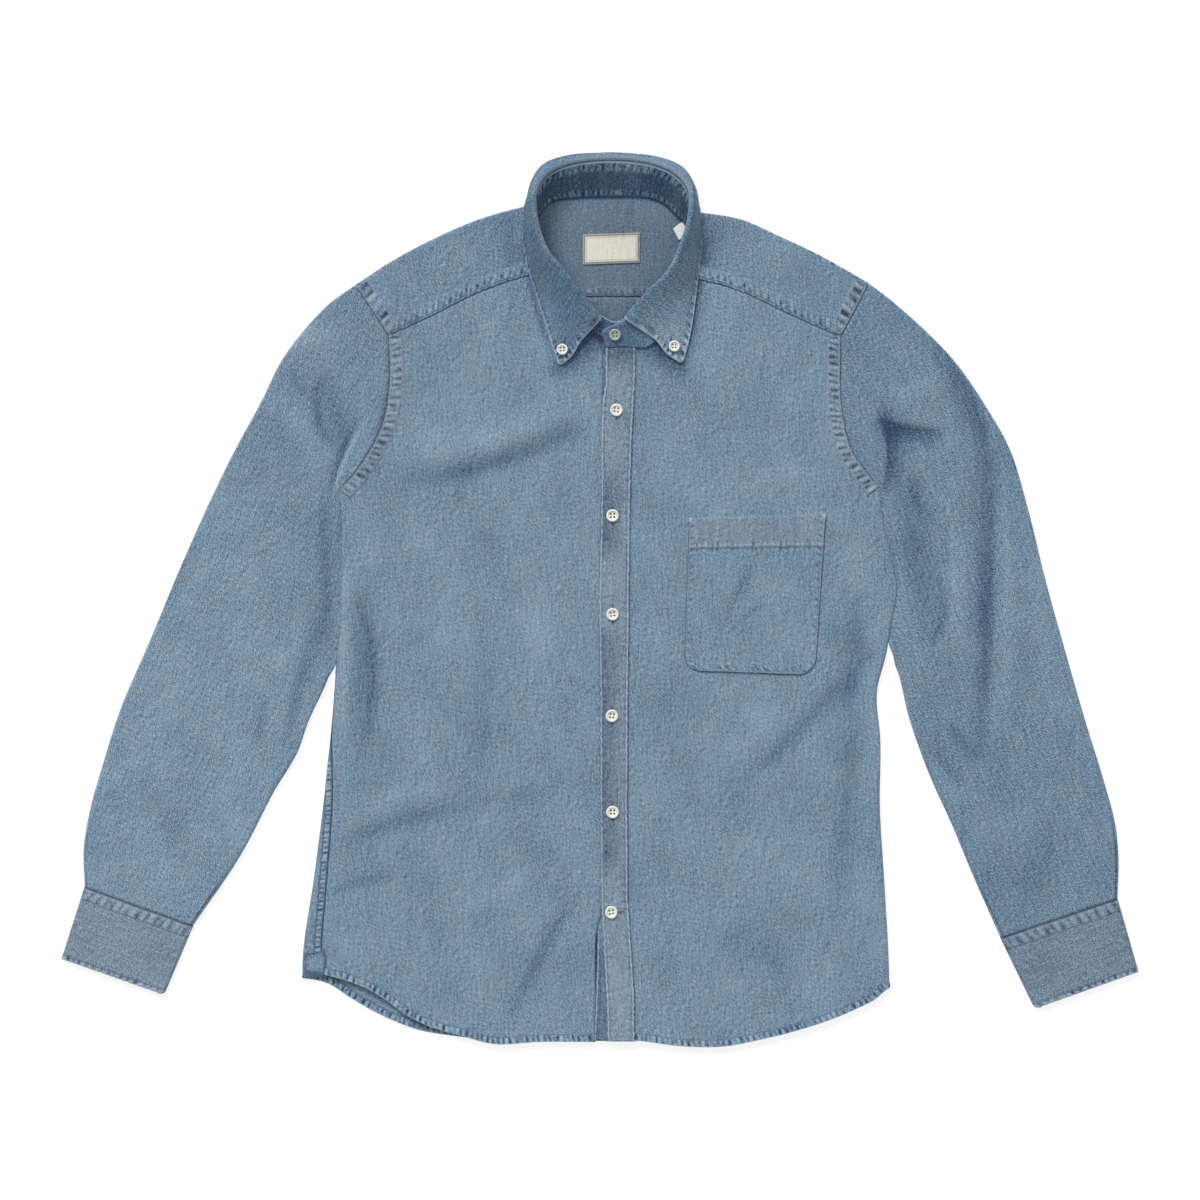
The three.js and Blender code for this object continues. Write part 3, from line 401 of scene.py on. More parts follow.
def shell(middle, normal, wall, cloth=None, shade=0, seam=0, wear=0, ringed=False, kept=None):
    """A closed thin shell of cloth round a grid of middle points, with painted shade, seams and wear."""
    rows, columns = middle.shape[:2]
    half = np.broadcast_to(wall, (rows, columns))[..., None] / 2
    number = np.arange(rows * columns).reshape(rows, columns)
    if ringed:
        number = np.concatenate([number, number[:, :1]], axis=1)
    quads = cells(number)
    quads = quads[kept] if kept is not None else quads.reshape(-1, 4)
    edges = np.concatenate([quads[:, [k, (k + 1) % 4]] for k in range(4)])
    below = rows * columns  # the lower face's points are numbered on from the upper one's
    rim = edges[~np.isin(edges @ (below, 1), edges @ (1, below))]
    rims = np.stack([rim[:, 1], rim[:, 0], rim[:, 0] + below, rim[:, 1] + below], axis=-1)
    faces = np.concatenate([quads, quads[:, ::-1] + below, rims])
    points = np.concatenate([(middle + way * normal * half).reshape(-1, 3) for way in (1, -1)])
    used, faces = np.unique(faces, return_inverse=True)
    plan = middle[..., :2] if cloth is None else cloth
    cloth = raised(plan, 0.0).reshape(-1, 3)
    sewn = [np.broadcast_to(mark, (rows, columns)) for mark in (shade, seam, wear)]
    sewn = np.dstack(sewn).reshape(-1, 3)
    marks = [np.concatenate([mark, mark])[used] for mark in (cloth, sewn)]
    return points[used], faces.reshape(-1, 4), *marks


def made_piece(name, points, faces, cloth, sewn, material):
    """An object that carries where its points lie in the cloth, and its painted shade, seams and wear."""
    mesh = bpy.data.meshes.new(name)
    mesh.from_pydata(points / 1000, [], faces)
    mesh.shade_smooth()
    # The sewn marks are painted shade and light, the dark of seams and painted shadows, and wear.
    for label, values in (("cloth", cloth / 1000), ("sewn", sewn)):
        layer = mesh.attributes.new(label, "FLOAT_VECTOR", "POINT")
        layer.data.foreach_set("vector", values.astype(np.float32).ravel())
    mesh.materials.append(material)
    piece = placed(name, mesh)
    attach(piece, "root")
    return piece


def cloth_piece(name, shells, material):
    """One object made of one or more shells."""
    starts = np.cumsum([0] + [len(part[0]) for part in shells])
    faces = [face for part, start in zip(shells, starts) for face in (part[1] + start).tolist()]
    points, cloth, sewn = [np.concatenate([part[k] for part in shells]) for k in (0, 2, 3)]
    return made_piece(name, points, faces, cloth, sewn, material)


def at_run(line, places):
    """Points of a line at places counted along it."""
    run = runs(line)
    return np.stack([np.interp(places, run, line[:, k]) for k in range(line.shape[1])], axis=-1)


def stitches(line, pitch=3.3, length=2.3, thick=0.5, marks=(-1, 0.85, 0)):
    """A row of thread stitches along a line of points, each a small pointed lozenge."""
    centres = np.arange(pitch / 2, runs(line)[-1], pitch)
    centre = at_run(line, centres)
    ahead = (at_run(line, centres + length / 2) - at_run(line, centres - length / 2)) / 2
    sideways = np.cross((0, 0, 1), ahead)
    sideways *= thick / 2 / np.maximum(np.linalg.norm(sideways, axis=1, keepdims=True), 1e-9)
    up = np.array([0, 0, thick / 2])
    arms = (ahead, sideways, -ahead, -sideways, up, -up)
    points = np.stack([centre + arm for arm in arms], axis=1).reshape(-1, 3)
    lozenge = [(k, (k + 1) % 4, 4) for k in range(4)] + [((k + 1) % 4, k, 5) for k in range(4)]
    faces = (np.arange(len(centre))[:, None, None] * len(arms) + np.array(lozenge)).reshape(-1, 3)
    return points, faces, points * (1, 1, 0), np.broadcast_to(marks, points.shape)


def pucker(seed, length, pitch):
    """Uneven ridges and dips along a seam, as a wave from -1 to 1."""
    chance = np.random.default_rng(seed)
    count = int(2.4 * (length + 80) / pitch)
    places = np.cumsum(chance.uniform(0.3, 0.7, count)) * pitch - 40
    heights = chance.uniform(0.35, 1, count) * np.where(np.arange(count) % 2, 1, -1)
    return lambda way: np.sin(np.pi / 2 * np.interp(way, places, heights))


def drawn_up(way, aside, rows, seed, pitch=6, slant=0.6):
    """How stitched rows draw cloth up: ridges from -1 to 1, and how tightly each point is held."""
    length = float(np.max(way))
    ridges = pucker(seed, length, pitch)(way + slant * aside)
    crossing = pucker(seed + 100, length, 1.5 * pitch)(way - slant * aside)
    nearest = np.min([np.abs(aside - row) for row in rows], axis=0)
    held = bell(nearest, 0.9)
    return (0.75 * ridges + 0.35 * crossing) * (1 - held), held


def beside(line, start, end, step=1.25, across=0.85):
    """Plan grid on the left of a line, from start to end away from it."""
    way = np.linspace(0, runs(line)[-1], int(runs(line)[-1] / step) + 2)
    points = at_run(line, way)
    heading = unit(np.gradient(points, axis=0))
    left = np.stack([-heading[:, 1], heading[:, 0]], axis=-1)
    aside = np.linspace(start, end, int(abs(end - start) / across) + 2)
    return points[:, None] + left[:, None] * aside[None, :, None], way[:, None], aside[None]


DOUBLED = 0.5  # how thick cloth that is turned under looks on top of its panel


def bars(ridges):
    """Tone of puckers: pale worn ridges, and creases between them dark with unworn indigo and painted shade."""
    return np.where(ridges < 0, -2.3 * np.abs(ridges) ** 1.25, 1.3 * ridges)


def sewn_strip(line, lay, start, end, rows, seed, pitch=6, slant=0.6, depth=0.4, tone=1.0, fold=None,
               dark=0.0, lift=0.0, grey=-0.15, row_dark=0.3, row_worn=0.0, soft_end=2.0):
    """Doubled cloth beside a seam line, held down by rows of stitching that draw it into puckers."""
    plan, way, aside = beside(line, start, end, across=0.6)
    ridges, held = drawn_up(way, aside, rows, seed, pitch, slant)
    wander = 0.4 * pucker(seed + 300, way[-1, 0], 10)(way)
    on_row = bell(np.min([np.abs(aside + wander - row) for row in rows], axis=0), 0.7)
    fading = ease(end - aside, 0, soft_end)
    middle = lay(plan)
    normal = facing(middle)
    normal *= np.sign(normal[..., 2].mean())
    height = SHEET / 2 + (0.55 + lift) * fading + depth * ridges * fading - 0.15 * held * fading - 0.1
    middle = middle + normal * height[..., None]
    middle[..., 2] = np.maximum(middle[..., 2], DOUBLED / 2 + 0.1)
    wear = row_worn * on_row * (0.65 + 0.35 * ridges)
    if fold is not None:
        rubbed = 0.7 + 0.3 * pucker(seed + 200, way[-1, 0], 11)(way)
        wear = wear + 0.75 * rubbed * bell(aside - fold, 0.8)
    # Painted shade in the puckers' creases; dark is the seam's own dark plus the strip edge's painted shadow.
    shade = (tone * bars(ridges) + grey) * fading
    seam = row_dark * on_row + dark * bell(aside - start, 0.5)
    marks = [shade, np.clip(seam, 0, 1), np.clip(wear, 0, 1)]
    threads = [middle[:, int(np.argmin(np.abs(aside[0] - row)))] for row in rows]
    threads = [stitches(thread + (0, 0, DOUBLED / 2)) for thread in threads]
    if np.cross(middle[1, 0] - middle[0, 0], middle[0, 1] - middle[0, 0])[2] < 0:
        middle, plan, *marks = [grid[:, ::-1] for grid in (middle, plan, *marks)]
    return [shell(middle, facing(middle), DOUBLED, plan, *marks)] + threads


def wire(tree, links):
    """Links sockets, each given as node, socket, node, socket."""
    for source, out, target, into in links:
        tree.links.new(source.outputs[out], target.inputs[into])


def node(tree, kind, **settings):
    """A new shader node."""
    made = tree.nodes.new(kind)
    for key, value in settings.items():
        setattr(made, key, value)
    return made


def group(name, kinds, outputs):
    """A new shader node group, with its inputs listed under their kinds. Only Colour is a colour."""
    tree = bpy.data.node_groups.new(name, "ShaderNodeTree")
    for kind, labels in kinds.items():
        for label in labels:
            tree.interface.new_socket(label, in_out="INPUT", socket_type="NodeSocket" + kind)
    for label in outputs:
        kind = "NodeSocketColor" if label == "Colour" else "NodeSocketFloat"
        tree.interface.new_socket(label, in_out="OUTPUT", socket_type=kind)
    return tree, tree.nodes.new("NodeGroupInput"), tree.nodes.new("NodeGroupOutput")


def stretched_noise(tree, source, turn, across, lengthways, detail, roughness=0.6):
    """Noise in long grains: one grain is across wide and lengthways long, turned from upright."""
    mapping = node(tree, "ShaderNodeMapping", vector_type="POINT")
    rotate = node(tree, "ShaderNodeMapping", vector_type="POINT")
    set_inputs(rotate, {"Rotation": (0, 0, np.radians(turn))})
    set_inputs(mapping, {"Scale": (1000 / across, 1000 / lengthways, 1)})
    noise = node(tree, "ShaderNodeTexNoise", noise_dimensions="2D")
    set_inputs(noise, {"Scale": 1, "Detail": detail, "Roughness": roughness})
    wire(tree, [(source, "Vector", rotate, "Vector"), (rotate, 0, mapping, 0), (mapping, 0, noise, "Vector")])
    return noise


def blended(tree, parts):
    """Weighted sum of (node, socket, middle, weight)."""
    total = None
    for source, out, middle, weight in parts:
        step = node(tree, "ShaderNodeMath", operation="MULTIPLY_ADD")
        step.inputs[1].default_value = weight
        tree.links.new(source.outputs[out], step.inputs[0])
        if total is None:
            step.inputs[2].default_value = -middle * weight
        else:
            shift = node(tree, "ShaderNodeMath", operation="ADD")
            shift.inputs[1].default_value = -middle * weight
            tree.links.new(total.outputs[0], shift.inputs[0])
            tree.links.new(shift.outputs[0], step.inputs[2])
        total = step
    return total


def twill_group():
    """Twill lines that run down from the upper left, slubs in the warp, and the threads' relief."""
    tree, given, made = group("twill_weave", {"Vector": ["Vector"]}, ["Grain", "Slub", "Relief"])
    lines = stretched_noise(tree, given, -42, 0.95, 3.6, 0)
    fine = stretched_noise(tree, given, -40, 0.6, 0.95, 0)
    slub = stretched_noise(tree, given, 0, 1.3, 22, 1)
    grain = blended(tree, [(lines, "Fac", 0.5, 1.15), (fine, "Fac", 0.5, 2.3), (slub, "Fac", 0.5, 0.35)])
    relief = blended(tree, [(lines, "Fac", 0.5, 0.7), (slub, "Fac", 0.5, 0.4)])
    wire(tree, [(grain, 0, made, "Grain"), (slub, "Fac", made, "Slub"), (relief, 0, made, "Relief")])
    return tree


def wash_group():
    """Clouds left by the garment wash, and the greenish or violet drift of the dye."""
    tree, given, made = group("garment_wash", {"Vector": ["Vector"]}, ["Cloud", "Drift"])
    cloud = stretched_noise(tree, given, 0, 46, 70, 4)
    drift = stretched_noise(tree, given, 30, 26, 38, 4, 0.75)
    wire(tree, [(cloud, "Fac", made, "Cloud"), (drift, "Fac", made, "Drift")])
    return tree


def dye_and_shade_group():
    """Indigo deep in the seams and worn pale on raised edges, with the marks' painted shade and light."""
    tree, given, made = group("indigo_dye_and_painted_shade", {
        "Vector": ["Sewn"],
        "Color": ["Deep", "Base", "Pale", "Grey"],
        "Float": ["Grain", "Slub", "Cloud", "Drift", "Contrast"],
    }, ["Colour"])
    marks = node(tree, "ShaderNodeSeparateXYZ")
    grain = node(tree, "ShaderNodeMath", operation="MULTIPLY")
    wire(tree, [(given, "Sewn", marks, 0), (given, "Grain", grain, 0), (given, "Contrast", grain, 1)])
    # The tone is the weave and wash, with the painted shade and light of the marks' first part.
    tone = blended(tree, [(grain, 0, 0, 1), (given, "Slub", 0.5, 0.3), (given, "Cloud", 0.5, 0.55),
                          (marks, "X", 0, 0.5)])
    split = []
    for sign, colour in ((1, "Pale"), (-1, "Deep")):
        share = node(tree, "ShaderNodeMath", operation="MULTIPLY", use_clamp=True)
        share.inputs[1].default_value = sign
        tree.links.new(tone.outputs[0], share.inputs[0])
        split.append((share, colour))
    drift = node(tree, "ShaderNodeMapRange")
    set_inputs(drift, {"From Min": 0.38, "From Max": 0.66, "To Max": 0.6})
    tree.links.new(given.outputs["Drift"], drift.inputs["Value"])
    colour = given.outputs["Base"]
    steps = [(drift.outputs[0], "Grey")] + [(share.outputs[0], name) for share, name in split]
    steps += [(marks.outputs["Y"], "Deep"), (marks.outputs["Z"], "Pale")]
    for share, name in steps:
        mix = node(tree, "ShaderNodeMix", data_type="RGBA")
        tree.links.new(share, mix.inputs[0])
        tree.links.new(colour, mix.inputs[6])
        tree.links.new(given.outputs[name], mix.inputs[7])
        colour = mix.outputs[2]
    tree.links.new(colour, made.inputs["Colour"])
    return tree


TWILL = twill_group()
WASH = wash_group()
DYE_AND_SHADE = dye_and_shade_group()


def shade_of(red, green, blue):
    """A colour given as it looks on a card, from 0 to 255."""
    card = np.array([red, green, blue]) / 255
    linear = np.where(card <= 0.04045, card / 12.92, ((card + 0.055) / 1.055) ** 2.4)
    return (*linear, 1)


def washed_cloth(name, base, deep, pale, grey, contrast):
    """Chambray in one finish: weave, wash, worn seams, and the painted shade and light of its marks."""
    dull = {"Roughness": 0.92, "Specular IOR Level": 0.08, "Sheen Weight": 0.02, "Sheen Roughness": 0.6}
    material, tree, surface = new_material(name, dull)
    plan = node(tree, "ShaderNodeAttribute", attribute_name="cloth")
    sewn = node(tree, "ShaderNodeAttribute", attribute_name="sewn")
    twill, wash, dye = [node(tree, "ShaderNodeGroup", node_tree=made) for made in (TWILL, WASH, DYE_AND_SHADE)]
    bump = node(tree, "ShaderNodeBump")
    set_inputs(bump, {"Distance": 0.0005, "Strength": 0.2})
    set_inputs(dye, {"Base": shade_of(*base), "Deep": shade_of(*deep), "Pale": shade_of(*pale),
                     "Grey": shade_of(*grey), "Contrast": contrast})
    wire(tree, [
        (plan, "Vector", twill, "Vector"), (plan, "Vector", wash, "Vector"), (sewn, "Vector", dye, "Sewn"),
        (twill, "Grain", dye, "Grain"), (twill, "Slub", dye, "Slub"), (wash, "Cloud", dye, "Cloud"),
        (wash, "Drift", dye, "Drift"), (dye, "Colour", surface, "Base Color"),
        (twill, "Relief", bump, "Height"), (bump, "Normal", surface, "Normal"),
    ])
    return material


NECK_HALF = 95  # half the width of the part of a panel whose inside shows in the neck


def inside_out(piece, material, highest, lowest_y):
    """Gives the faces of a panel that show its inside in the neck a darker, greyer cloth."""
    piece.data.materials.append(material)
    for face in piece.data.polygons:
        x, y, z = (value * 1000 for value in face.center)
        if z < highest and y > lowest_y and abs(x - CENTRE_FRONT) < NECK_HALF:
            face.material_index = 1


WRONG_SIDE = washed_cloth("chambray_inside", (99, 119, 138), (50, 68, 92), (140, 158, 172),
                          (100, 118, 132), 0.85)
CHAMBRAY = washed_cloth("chambray", (112, 138, 160), (42, 64, 92), (168, 190, 206), (113, 135, 147), 1.0)

AT_ARMHOLE = 2.0  # width of the fine columns beside an armhole, where nothing rolls
back_sides = {}
for side in ("right", "left"):
    head = [ARMHOLE_HEAD[side][1], ARMHOLE_HEAD[side][2]]
    back_sides[side] = panel_side(side, BACK_HEM_ENDS[side], True, head)
back_run, back_down = resampled(back_sides["right"][0], back_sides["right"][1], 6)
other_side = np.stack([np.interp(back_down, back_sides["left"][1], back_sides["left"][0][:, k])
                       for k in (0, 1)], axis=-1)
back_top = along([back_run[0], other_side[0]], np.linspace(0, 1, 201))
back_hem = along([back_run[-1]] + BACK_HEM + [other_side[-1]], np.linspace(0, 1, 401))
in_body = back_down > 11 / 26
half_turn = np.pi * ROLL
roll_right = np.where(in_body, np.maximum(QUARTER, half_turn - down(RIGHT_DROP, back_run[:, 1])), AT_ARMHOLE)
roll_left = np.where(in_body, np.maximum(QUARTER, half_turn - down(LEFT_DROP, other_side[:, 1])), AT_ARMHOLE)
back_width = np.linalg.norm(other_side - back_run, axis=1)
shares_in = np.linspace(0, 1, 17)[:-1]
right_share = (roll_right / back_width)[:, None]
left_share = (roll_left / back_width)[:, None]
flat_share = (1 - (roll_right + roll_left) / back_width)[:, None]
across = np.concatenate([
    shares_in * right_share,
    right_share + np.linspace(0, 1, 78) * flat_share,
    1 - (shares_in * left_share)[:, ::-1],
], axis=1)
back_plan = filled(back_run, other_side, back_top, back_hem, back_down, across)
back_middle = on_table(back_plan)
in_neck = ease(back_plan[..., 1], 215, 240) * (1 - ease(np.abs(back_plan[..., 0] - CENTRE_FRONT), 60, 90))
back_shell = shell(back_middle, facing(back_middle), SHEET, back_plan, -0.15 * in_neck)
back = cloth_piece("back_panel", [back_shell], CHAMBRAY)
inside_out(back, WRONG_SIDE, 1.2, 205)
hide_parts("back")
hem_turned_up = sewn_strip(back_plan[-1], on_table, 0.2, 7.6, [6.4], seed=11, pitch=5.2, slant=0.25,
                           tone=1.3, fold=0.2, grey=-0.4)
side_line = side_seam("right", np.linspace(0.04, 1, 200), BACK_HEM_ENDS["right"] + 7, True)
side_fell = sewn_strip(side_line, on_table, 0.1, 7.6, [0.9, 6.7], seed=12, pitch=4.6, slant=0.15,
                       depth=0.35, tone=1.2, dark=0.7, grey=0.15, row_dark=0.7)
back_sewing = cloth_piece("back_panel_sewing", hem_turned_up + side_fell, CHAMBRAY)

# Yoke: the doubled cloth over both shoulders, from the front seams back to a straight seam. It
# turns over at the shoulders, and its inside shows in the neck.
YOKE_SEAM = {
    "right": [[-196, 247], [-159, 264], [-112, 287], [-75, 300], [-44, 306]],
    "left": [[223, 246], [190, 260], [130, 288], [95, 298], [66, 303]],
}
SHOULDER = {
    "right": [[-227, 293], [-195, 314], [-158, 334], [-112, 354], [-54, 370]],
    "left": [[249, 295], [205, 320], [167, 338], [130, 354], [78, 362]],
}
NECK_SIDE = {
    "right": [[-44, 306], [-55, 325], [-61, 343], [-61, 357], [-55, 370]],
    "left": [[66, 303], [79, 322], [84.5, 338], [84.5, 350], [79, 362]],
}
NECK_BACK = [[-54, 370], [-43, 376], [-20, 380], [12, 381.2], [44, 380], [62, 373.5], [78, 362]]
BACK_SEAM_Y = 283
YOKE_COLUMNS = 70
YOKE_FRONT_ROWS = 24
TURN_STEPS = 8
YOKE_BACK_ROWS = 18


def fold_shade(grid):
    """Shade and light painted along the folds, at the points of a grid."""
    return folded(grid[..., 0], grid[..., 1])[1]


def turned(edge, inside, top_z, steps=TURN_STEPS):
    """A half-round turn from the upper layer down to the table, outermost at the edge points."""
    radius = ((top_z - FLOOR) / 2)[..., None]
    outward = unit(edge - inside)
    centre = edge - outward * radius
    points = []
    for k in range(steps + 1):
        angle = np.pi * k / steps
        place = centre + outward * radius * np.sin(angle)
        height = FLOOR + radius * (1 + np.cos(angle))
        points.append(np.concatenate([place, height], axis=-1))
    return np.stack(points, axis=0)


def shoulder_block(side):
    """One shoulder of the yoke: rows from the front seam over the fold to the back seam."""
    shares = np.linspace(0, 1, YOKE_COLUMNS + 1)
    head = np.array(ARMHOLE_HEAD[side][::-1], float)
    arm = through(head, np.linspace(0, 3, YOKE_FRONT_ROWS + 1))
    neck = along(NECK_SIDE[side], np.linspace(0, 1, YOKE_FRONT_ROWS + 1))
    front_seam = along(YOKE_SEAM[side], shares)
    fold = along(SHOULDER[side], shares)
    front = filled(arm, neck, front_seam, fold, np.linspace(0, 1, YOKE_FRONT_ROWS + 1), shares[None])
    corner = np.array(ARMHOLE_HEAD[side][1], float)
    neck_corner = np.array([NECK_SIDE[side][0][0], BACK_SEAM_Y], float)
    back_seam = along([corner, neck_corner], shares)
    back_shares = np.linspace(0, 1, YOKE_BACK_ROWS + 1)
    back_arm = along([ARMHOLE_HEAD[side][0], ARMHOLE_HEAD[side][1]], back_shares)
    back_neck = along([fold[-1], neck_corner], back_shares)
    behind = filled(back_arm, back_neck, fold, back_seam, back_shares, shares[None])
    height = upper(front[:-1, :, 0], front[:-1, :, 1])
    over = raised(front[:-1], height)
    bend = turned(fold, front[-2], np.full(len(fold), TOP))
    plan = np.concatenate([front, front[-1:].repeat(TURN_STEPS, axis=0), behind[1:]])
    return np.concatenate([over, bend, raised(behind[1:], FLOOR)]), plan


right_yoke, right_yoke_plan = shoulder_block("right")
left_yoke, left_yoke_plan = shoulder_block("left")
neck_columns = 44
neck_line = along(NECK_BACK, np.linspace(0, 1, neck_columns + 1))[1:-1]
seam_x = np.linspace(YOKE_SEAM["right"][-1][0], YOKE_SEAM["left"][-1][0], neck_columns + 1)[1:-1]
seam_line = np.stack([seam_x, np.full(neck_columns - 1, BACK_SEAM_Y)], axis=-1)
neck_down = np.linspace(0, 1, YOKE_BACK_ROWS + 1)[:, None, None]
middle_plan = neck_line * (1 - neck_down) + seam_line * neck_down
upper_rows = YOKE_FRONT_ROWS + TURN_STEPS
middle_plan = np.concatenate([middle_plan[:1].repeat(upper_rows, axis=0), middle_plan])
yoke_middle = np.concatenate([right_yoke, raised(middle_plan, FLOOR), left_yoke[:, ::-1]], axis=1)
yoke_plan = np.concatenate([right_yoke_plan, middle_plan, left_yoke_plan[:, ::-1]], axis=1)
yoke_kept = np.ones((yoke_middle.shape[0] - 1, yoke_middle.shape[1] - 1), bool)
yoke_kept[:upper_rows, YOKE_COLUMNS:YOKE_COLUMNS + neck_columns] = False
inside = 1 - ease(yoke_middle[..., 2], FLOOR, FLOOR + 2)
# On top, painted shade and light along the folds and painted shade beside the collar; inside, a bit darker.
yoke_shade = np.where(inside > 0.5, -0.1, fold_shade(yoke_plan) - 0.15)
yoke_shell = shell(yoke_middle, -facing(yoke_middle), SHEET, yoke_plan, yoke_shade, kept=yoke_kept)
yoke = cloth_piece("yoke_panel", [yoke_shell], CHAMBRAY)
inside_out(yoke, WRONG_SIDE, 1.2, 270)
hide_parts("yoke")


def on_yoke(plan):
    """The inside of the yoke where it lies on the table, in the neck."""
    return raised(plan, FLOOR)


yoke_front_shares = np.linspace(0.01, 0.99, 200)
right_seam = along(YOKE_SEAM["right"], yoke_front_shares)
left_seam = along(YOKE_SEAM["left"], yoke_front_shares)[::-1]
back_seam = np.stack([np.linspace(-52, 72, 140), np.full(140, BACK_SEAM_Y)], axis=-1)
# dark: the seam's own dark and the painted shadow that the yoke's edge lays on the front
on_front = {"dark": 0.95, "soft_end": 9, "grey": -0.2}
yoke_rows = sewn_strip(right_seam, on_top, -0.5, 12, [1.7], seed=21, pitch=6, slant=-0.6, **on_front)
yoke_rows += sewn_strip(left_seam, on_top, -0.5, 12, [1.7], seed=22, pitch=6, slant=0.6, **on_front)
yoke_rows += sewn_strip(back_seam, on_yoke, -0.4, 9, [1.4], seed=23, pitch=5.2, slant=0.3, dark=0.95,
                        soft_end=6, grey=-0.1)
yoke_sewing = cloth_piece("yoke_panel_sewing", yoke_rows, CHAMBRAY)
inside_out(yoke_sewing, WRONG_SIDE, 3, 270)

# Fronts: a right and a left panel from the yoke seam to the hem, each with half of the front neck
# edge. The left one carries the placket, and its side rolls under the body.
NECK_FRONT = {
    "right": [[-44, 306], [-26, 279], [-12, 256], [2.7, 233]],
    "left": [[66, 303], [51, 277], [37, 255], [26, 235]],
}
FRONT_HEM = np.array([
    [-262, -348], [-236, -354], [-218, -361], [-198, -373], [-177, -388], [-155, -398], [-130, -405],
    [-98, -413], [-56, -411], [-4, -411], [35, -410], [75, -415], [114, -415.4], [149, -409],
    [178, -402], [213, -391], [237, -381], [255, -372], [267, -362], [278, -354],
])
FRONT_CENTRE = {"right": -4.3, "left": 24.3}


def painted_light_at_turn(normal):
    """Light painted on cloth where it turns away from above at a rolled edge, against the shade it takes there.
    """
    return 0.8 * (1 - ease(np.abs(normal[..., 2]), 0.1, 0.9))


def front_panel(side):
    """One front, with its turned-up hem."""
    right = side == "right"
    hem_end = FRONT_HEM[0] if right else FRONT_HEM[-1]
    line, shares = panel_side(side, hem_end[1], False)
    edge, way_down = resampled(line, shares, 3.3)
    centre_x = FRONT_CENTRE[side]
    seam = along(YOKE_SEAM[side], np.linspace(0, 1, 161))
    neck = along(NECK_FRONT[side], np.linspace(0, 1, 101))
    top = np.concatenate([seam, neck[1:]])
    if right:
        inner = [p for p in FRONT_HEM[1:] if p[0] < centre_x - 3]
        hem = along([edge[-1]] + inner + [[centre_x, -411]], np.linspace(0, 1, 261))
    else:
        inner = [p for p in FRONT_HEM[:-1] if p[0] > centre_x + 3]
        hem = along([[centre_x, -410.5]] + inner + [edge[-1]], np.linspace(0, 1, 261))[::-1]
    centre_y = top[-1, 1] + (hem[-1, 1] - top[-1, 1]) * way_down
    centre_x = centre_x + (7 * ease(centre_y, -320, -280) if right else 0 * centre_y)
    centre = np.stack([centre_x, centre_y], axis=-1)
    drop = down(RIGHT_DROP if right else LEFT_DROP, edge[:, 1])
    roll = np.where(way_down > 9.5 / 24, np.maximum(QUARTER, drop), AT_ARMHOLE)
    width = np.linalg.norm(centre - edge, axis=1)
    share = (roll / width)[:, None]
    across = [np.linspace(0, 1, 13)[:-1] * share, share + np.linspace(0, 1, 92) * (1 - share)]
    across = np.concatenate(across, axis=1)
    plan = filled(edge, centre, top, hem, way_down, across)
    middle = on_top(plan)
    normal = facing(middle) * (1 if right else -1)
    # Painted shade and light along the folds, and painted light on the rolled edge.
    shade = fold_shade(plan) + painted_light_at_turn(normal)
    piece = cloth_piece(f"front_{side}_panel", [shell(middle, normal, SHEET, plan, shade)], CHAMBRAY)
    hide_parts(f"front_{side}")
    hem_line = plan[-1, 1:-1] if right else plan[-1, 9:-3][::-1]
    seed = 31 if right else 32
    turned_up = sewn_strip(hem_line, on_top, 0.1, 7.8, [6.6], seed, pitch=5.2, slant=0.25, tone=1.3,
                           fold=0.1, grey=-0.05)
    sewing = cloth_piece(f"front_{side}_sewing", turned_up, CHAMBRAY)
    return piece, sewing


front_right, front_right_sewing = front_panel("right")
front_left, front_left_sewing = front_panel("left")

# Sleeves: one piece each, closed along the underarm and laid flat, with a half-round turn at both
# edges. The head is sewn into the armhole.
SLEEVE_OUTER = {
    "right": [[-227, 293], [-251, 276], [-279, 246], [-298, 219], [-314, 186], [-339, 140], [-362, 93],
              [-391, 28], [-418, -37], [-446, -102], [-461, -149], [-474, -195], [-480, -232], [-479, -267]],
    "left": [[249, 295], [270, 279], [307, 246], [332, 219], [358, 181], [381, 140], [398, 84],
             [414, 19], [432, -46], [451, -112], [468, -167], [479, -209], [482, -242], [481, -278]],
}
SLEEVE_INNER = {
    "right": [[-244, 101.6], [-243, 88], [-241.8, 70], [-241.8, 40], [-242.2, 0], [-248, -51], [-253, -72],
              [-272, -114], [-282, -142], [-304, -179], [-335, -238], [-379, -303]],
    "left": [[261, 103.6], [262, 90], [265.6, 70], [273.2, 38], [277.6, 10], [274, -20], [272.6, -37],
             [274, -57], [279, -72], [288, -110], [307, -163], [326, -205], [349, -260], [373, -314]],
}
CUFF_SEAM = {"right": [[-479, -267], [-379, -303]], "left": [[481, -278], [373, -314]]}
CUFF_HEM = {"right": [[-500.4, -334], [-406, -367]], "left": [[500.4, -346], [405, -380]]}
BAND_CLOTH = washed_cloth("band_cloth", (113, 134, 152), (48, 66, 92), (168, 186, 200),
                          (116, 132, 142), 0.95)
ARMHOLE_REACH = 0.07
CLEAR = 0.4
TUCK = 2.2
OTHER_LAYER = 400  # the lower layer's weave is read from this far off, so that it isn't the upper one's


def under_layer(values, columns):
    """Rows of values of the upper layer, read back to front for the layer below it."""
    stations = np.linspace(0, 1, len(values[0]))
    share = np.linspace(1, 0, columns + 2)[1:-1]
    return np.stack([np.interp(share, stations, row) for row in values])


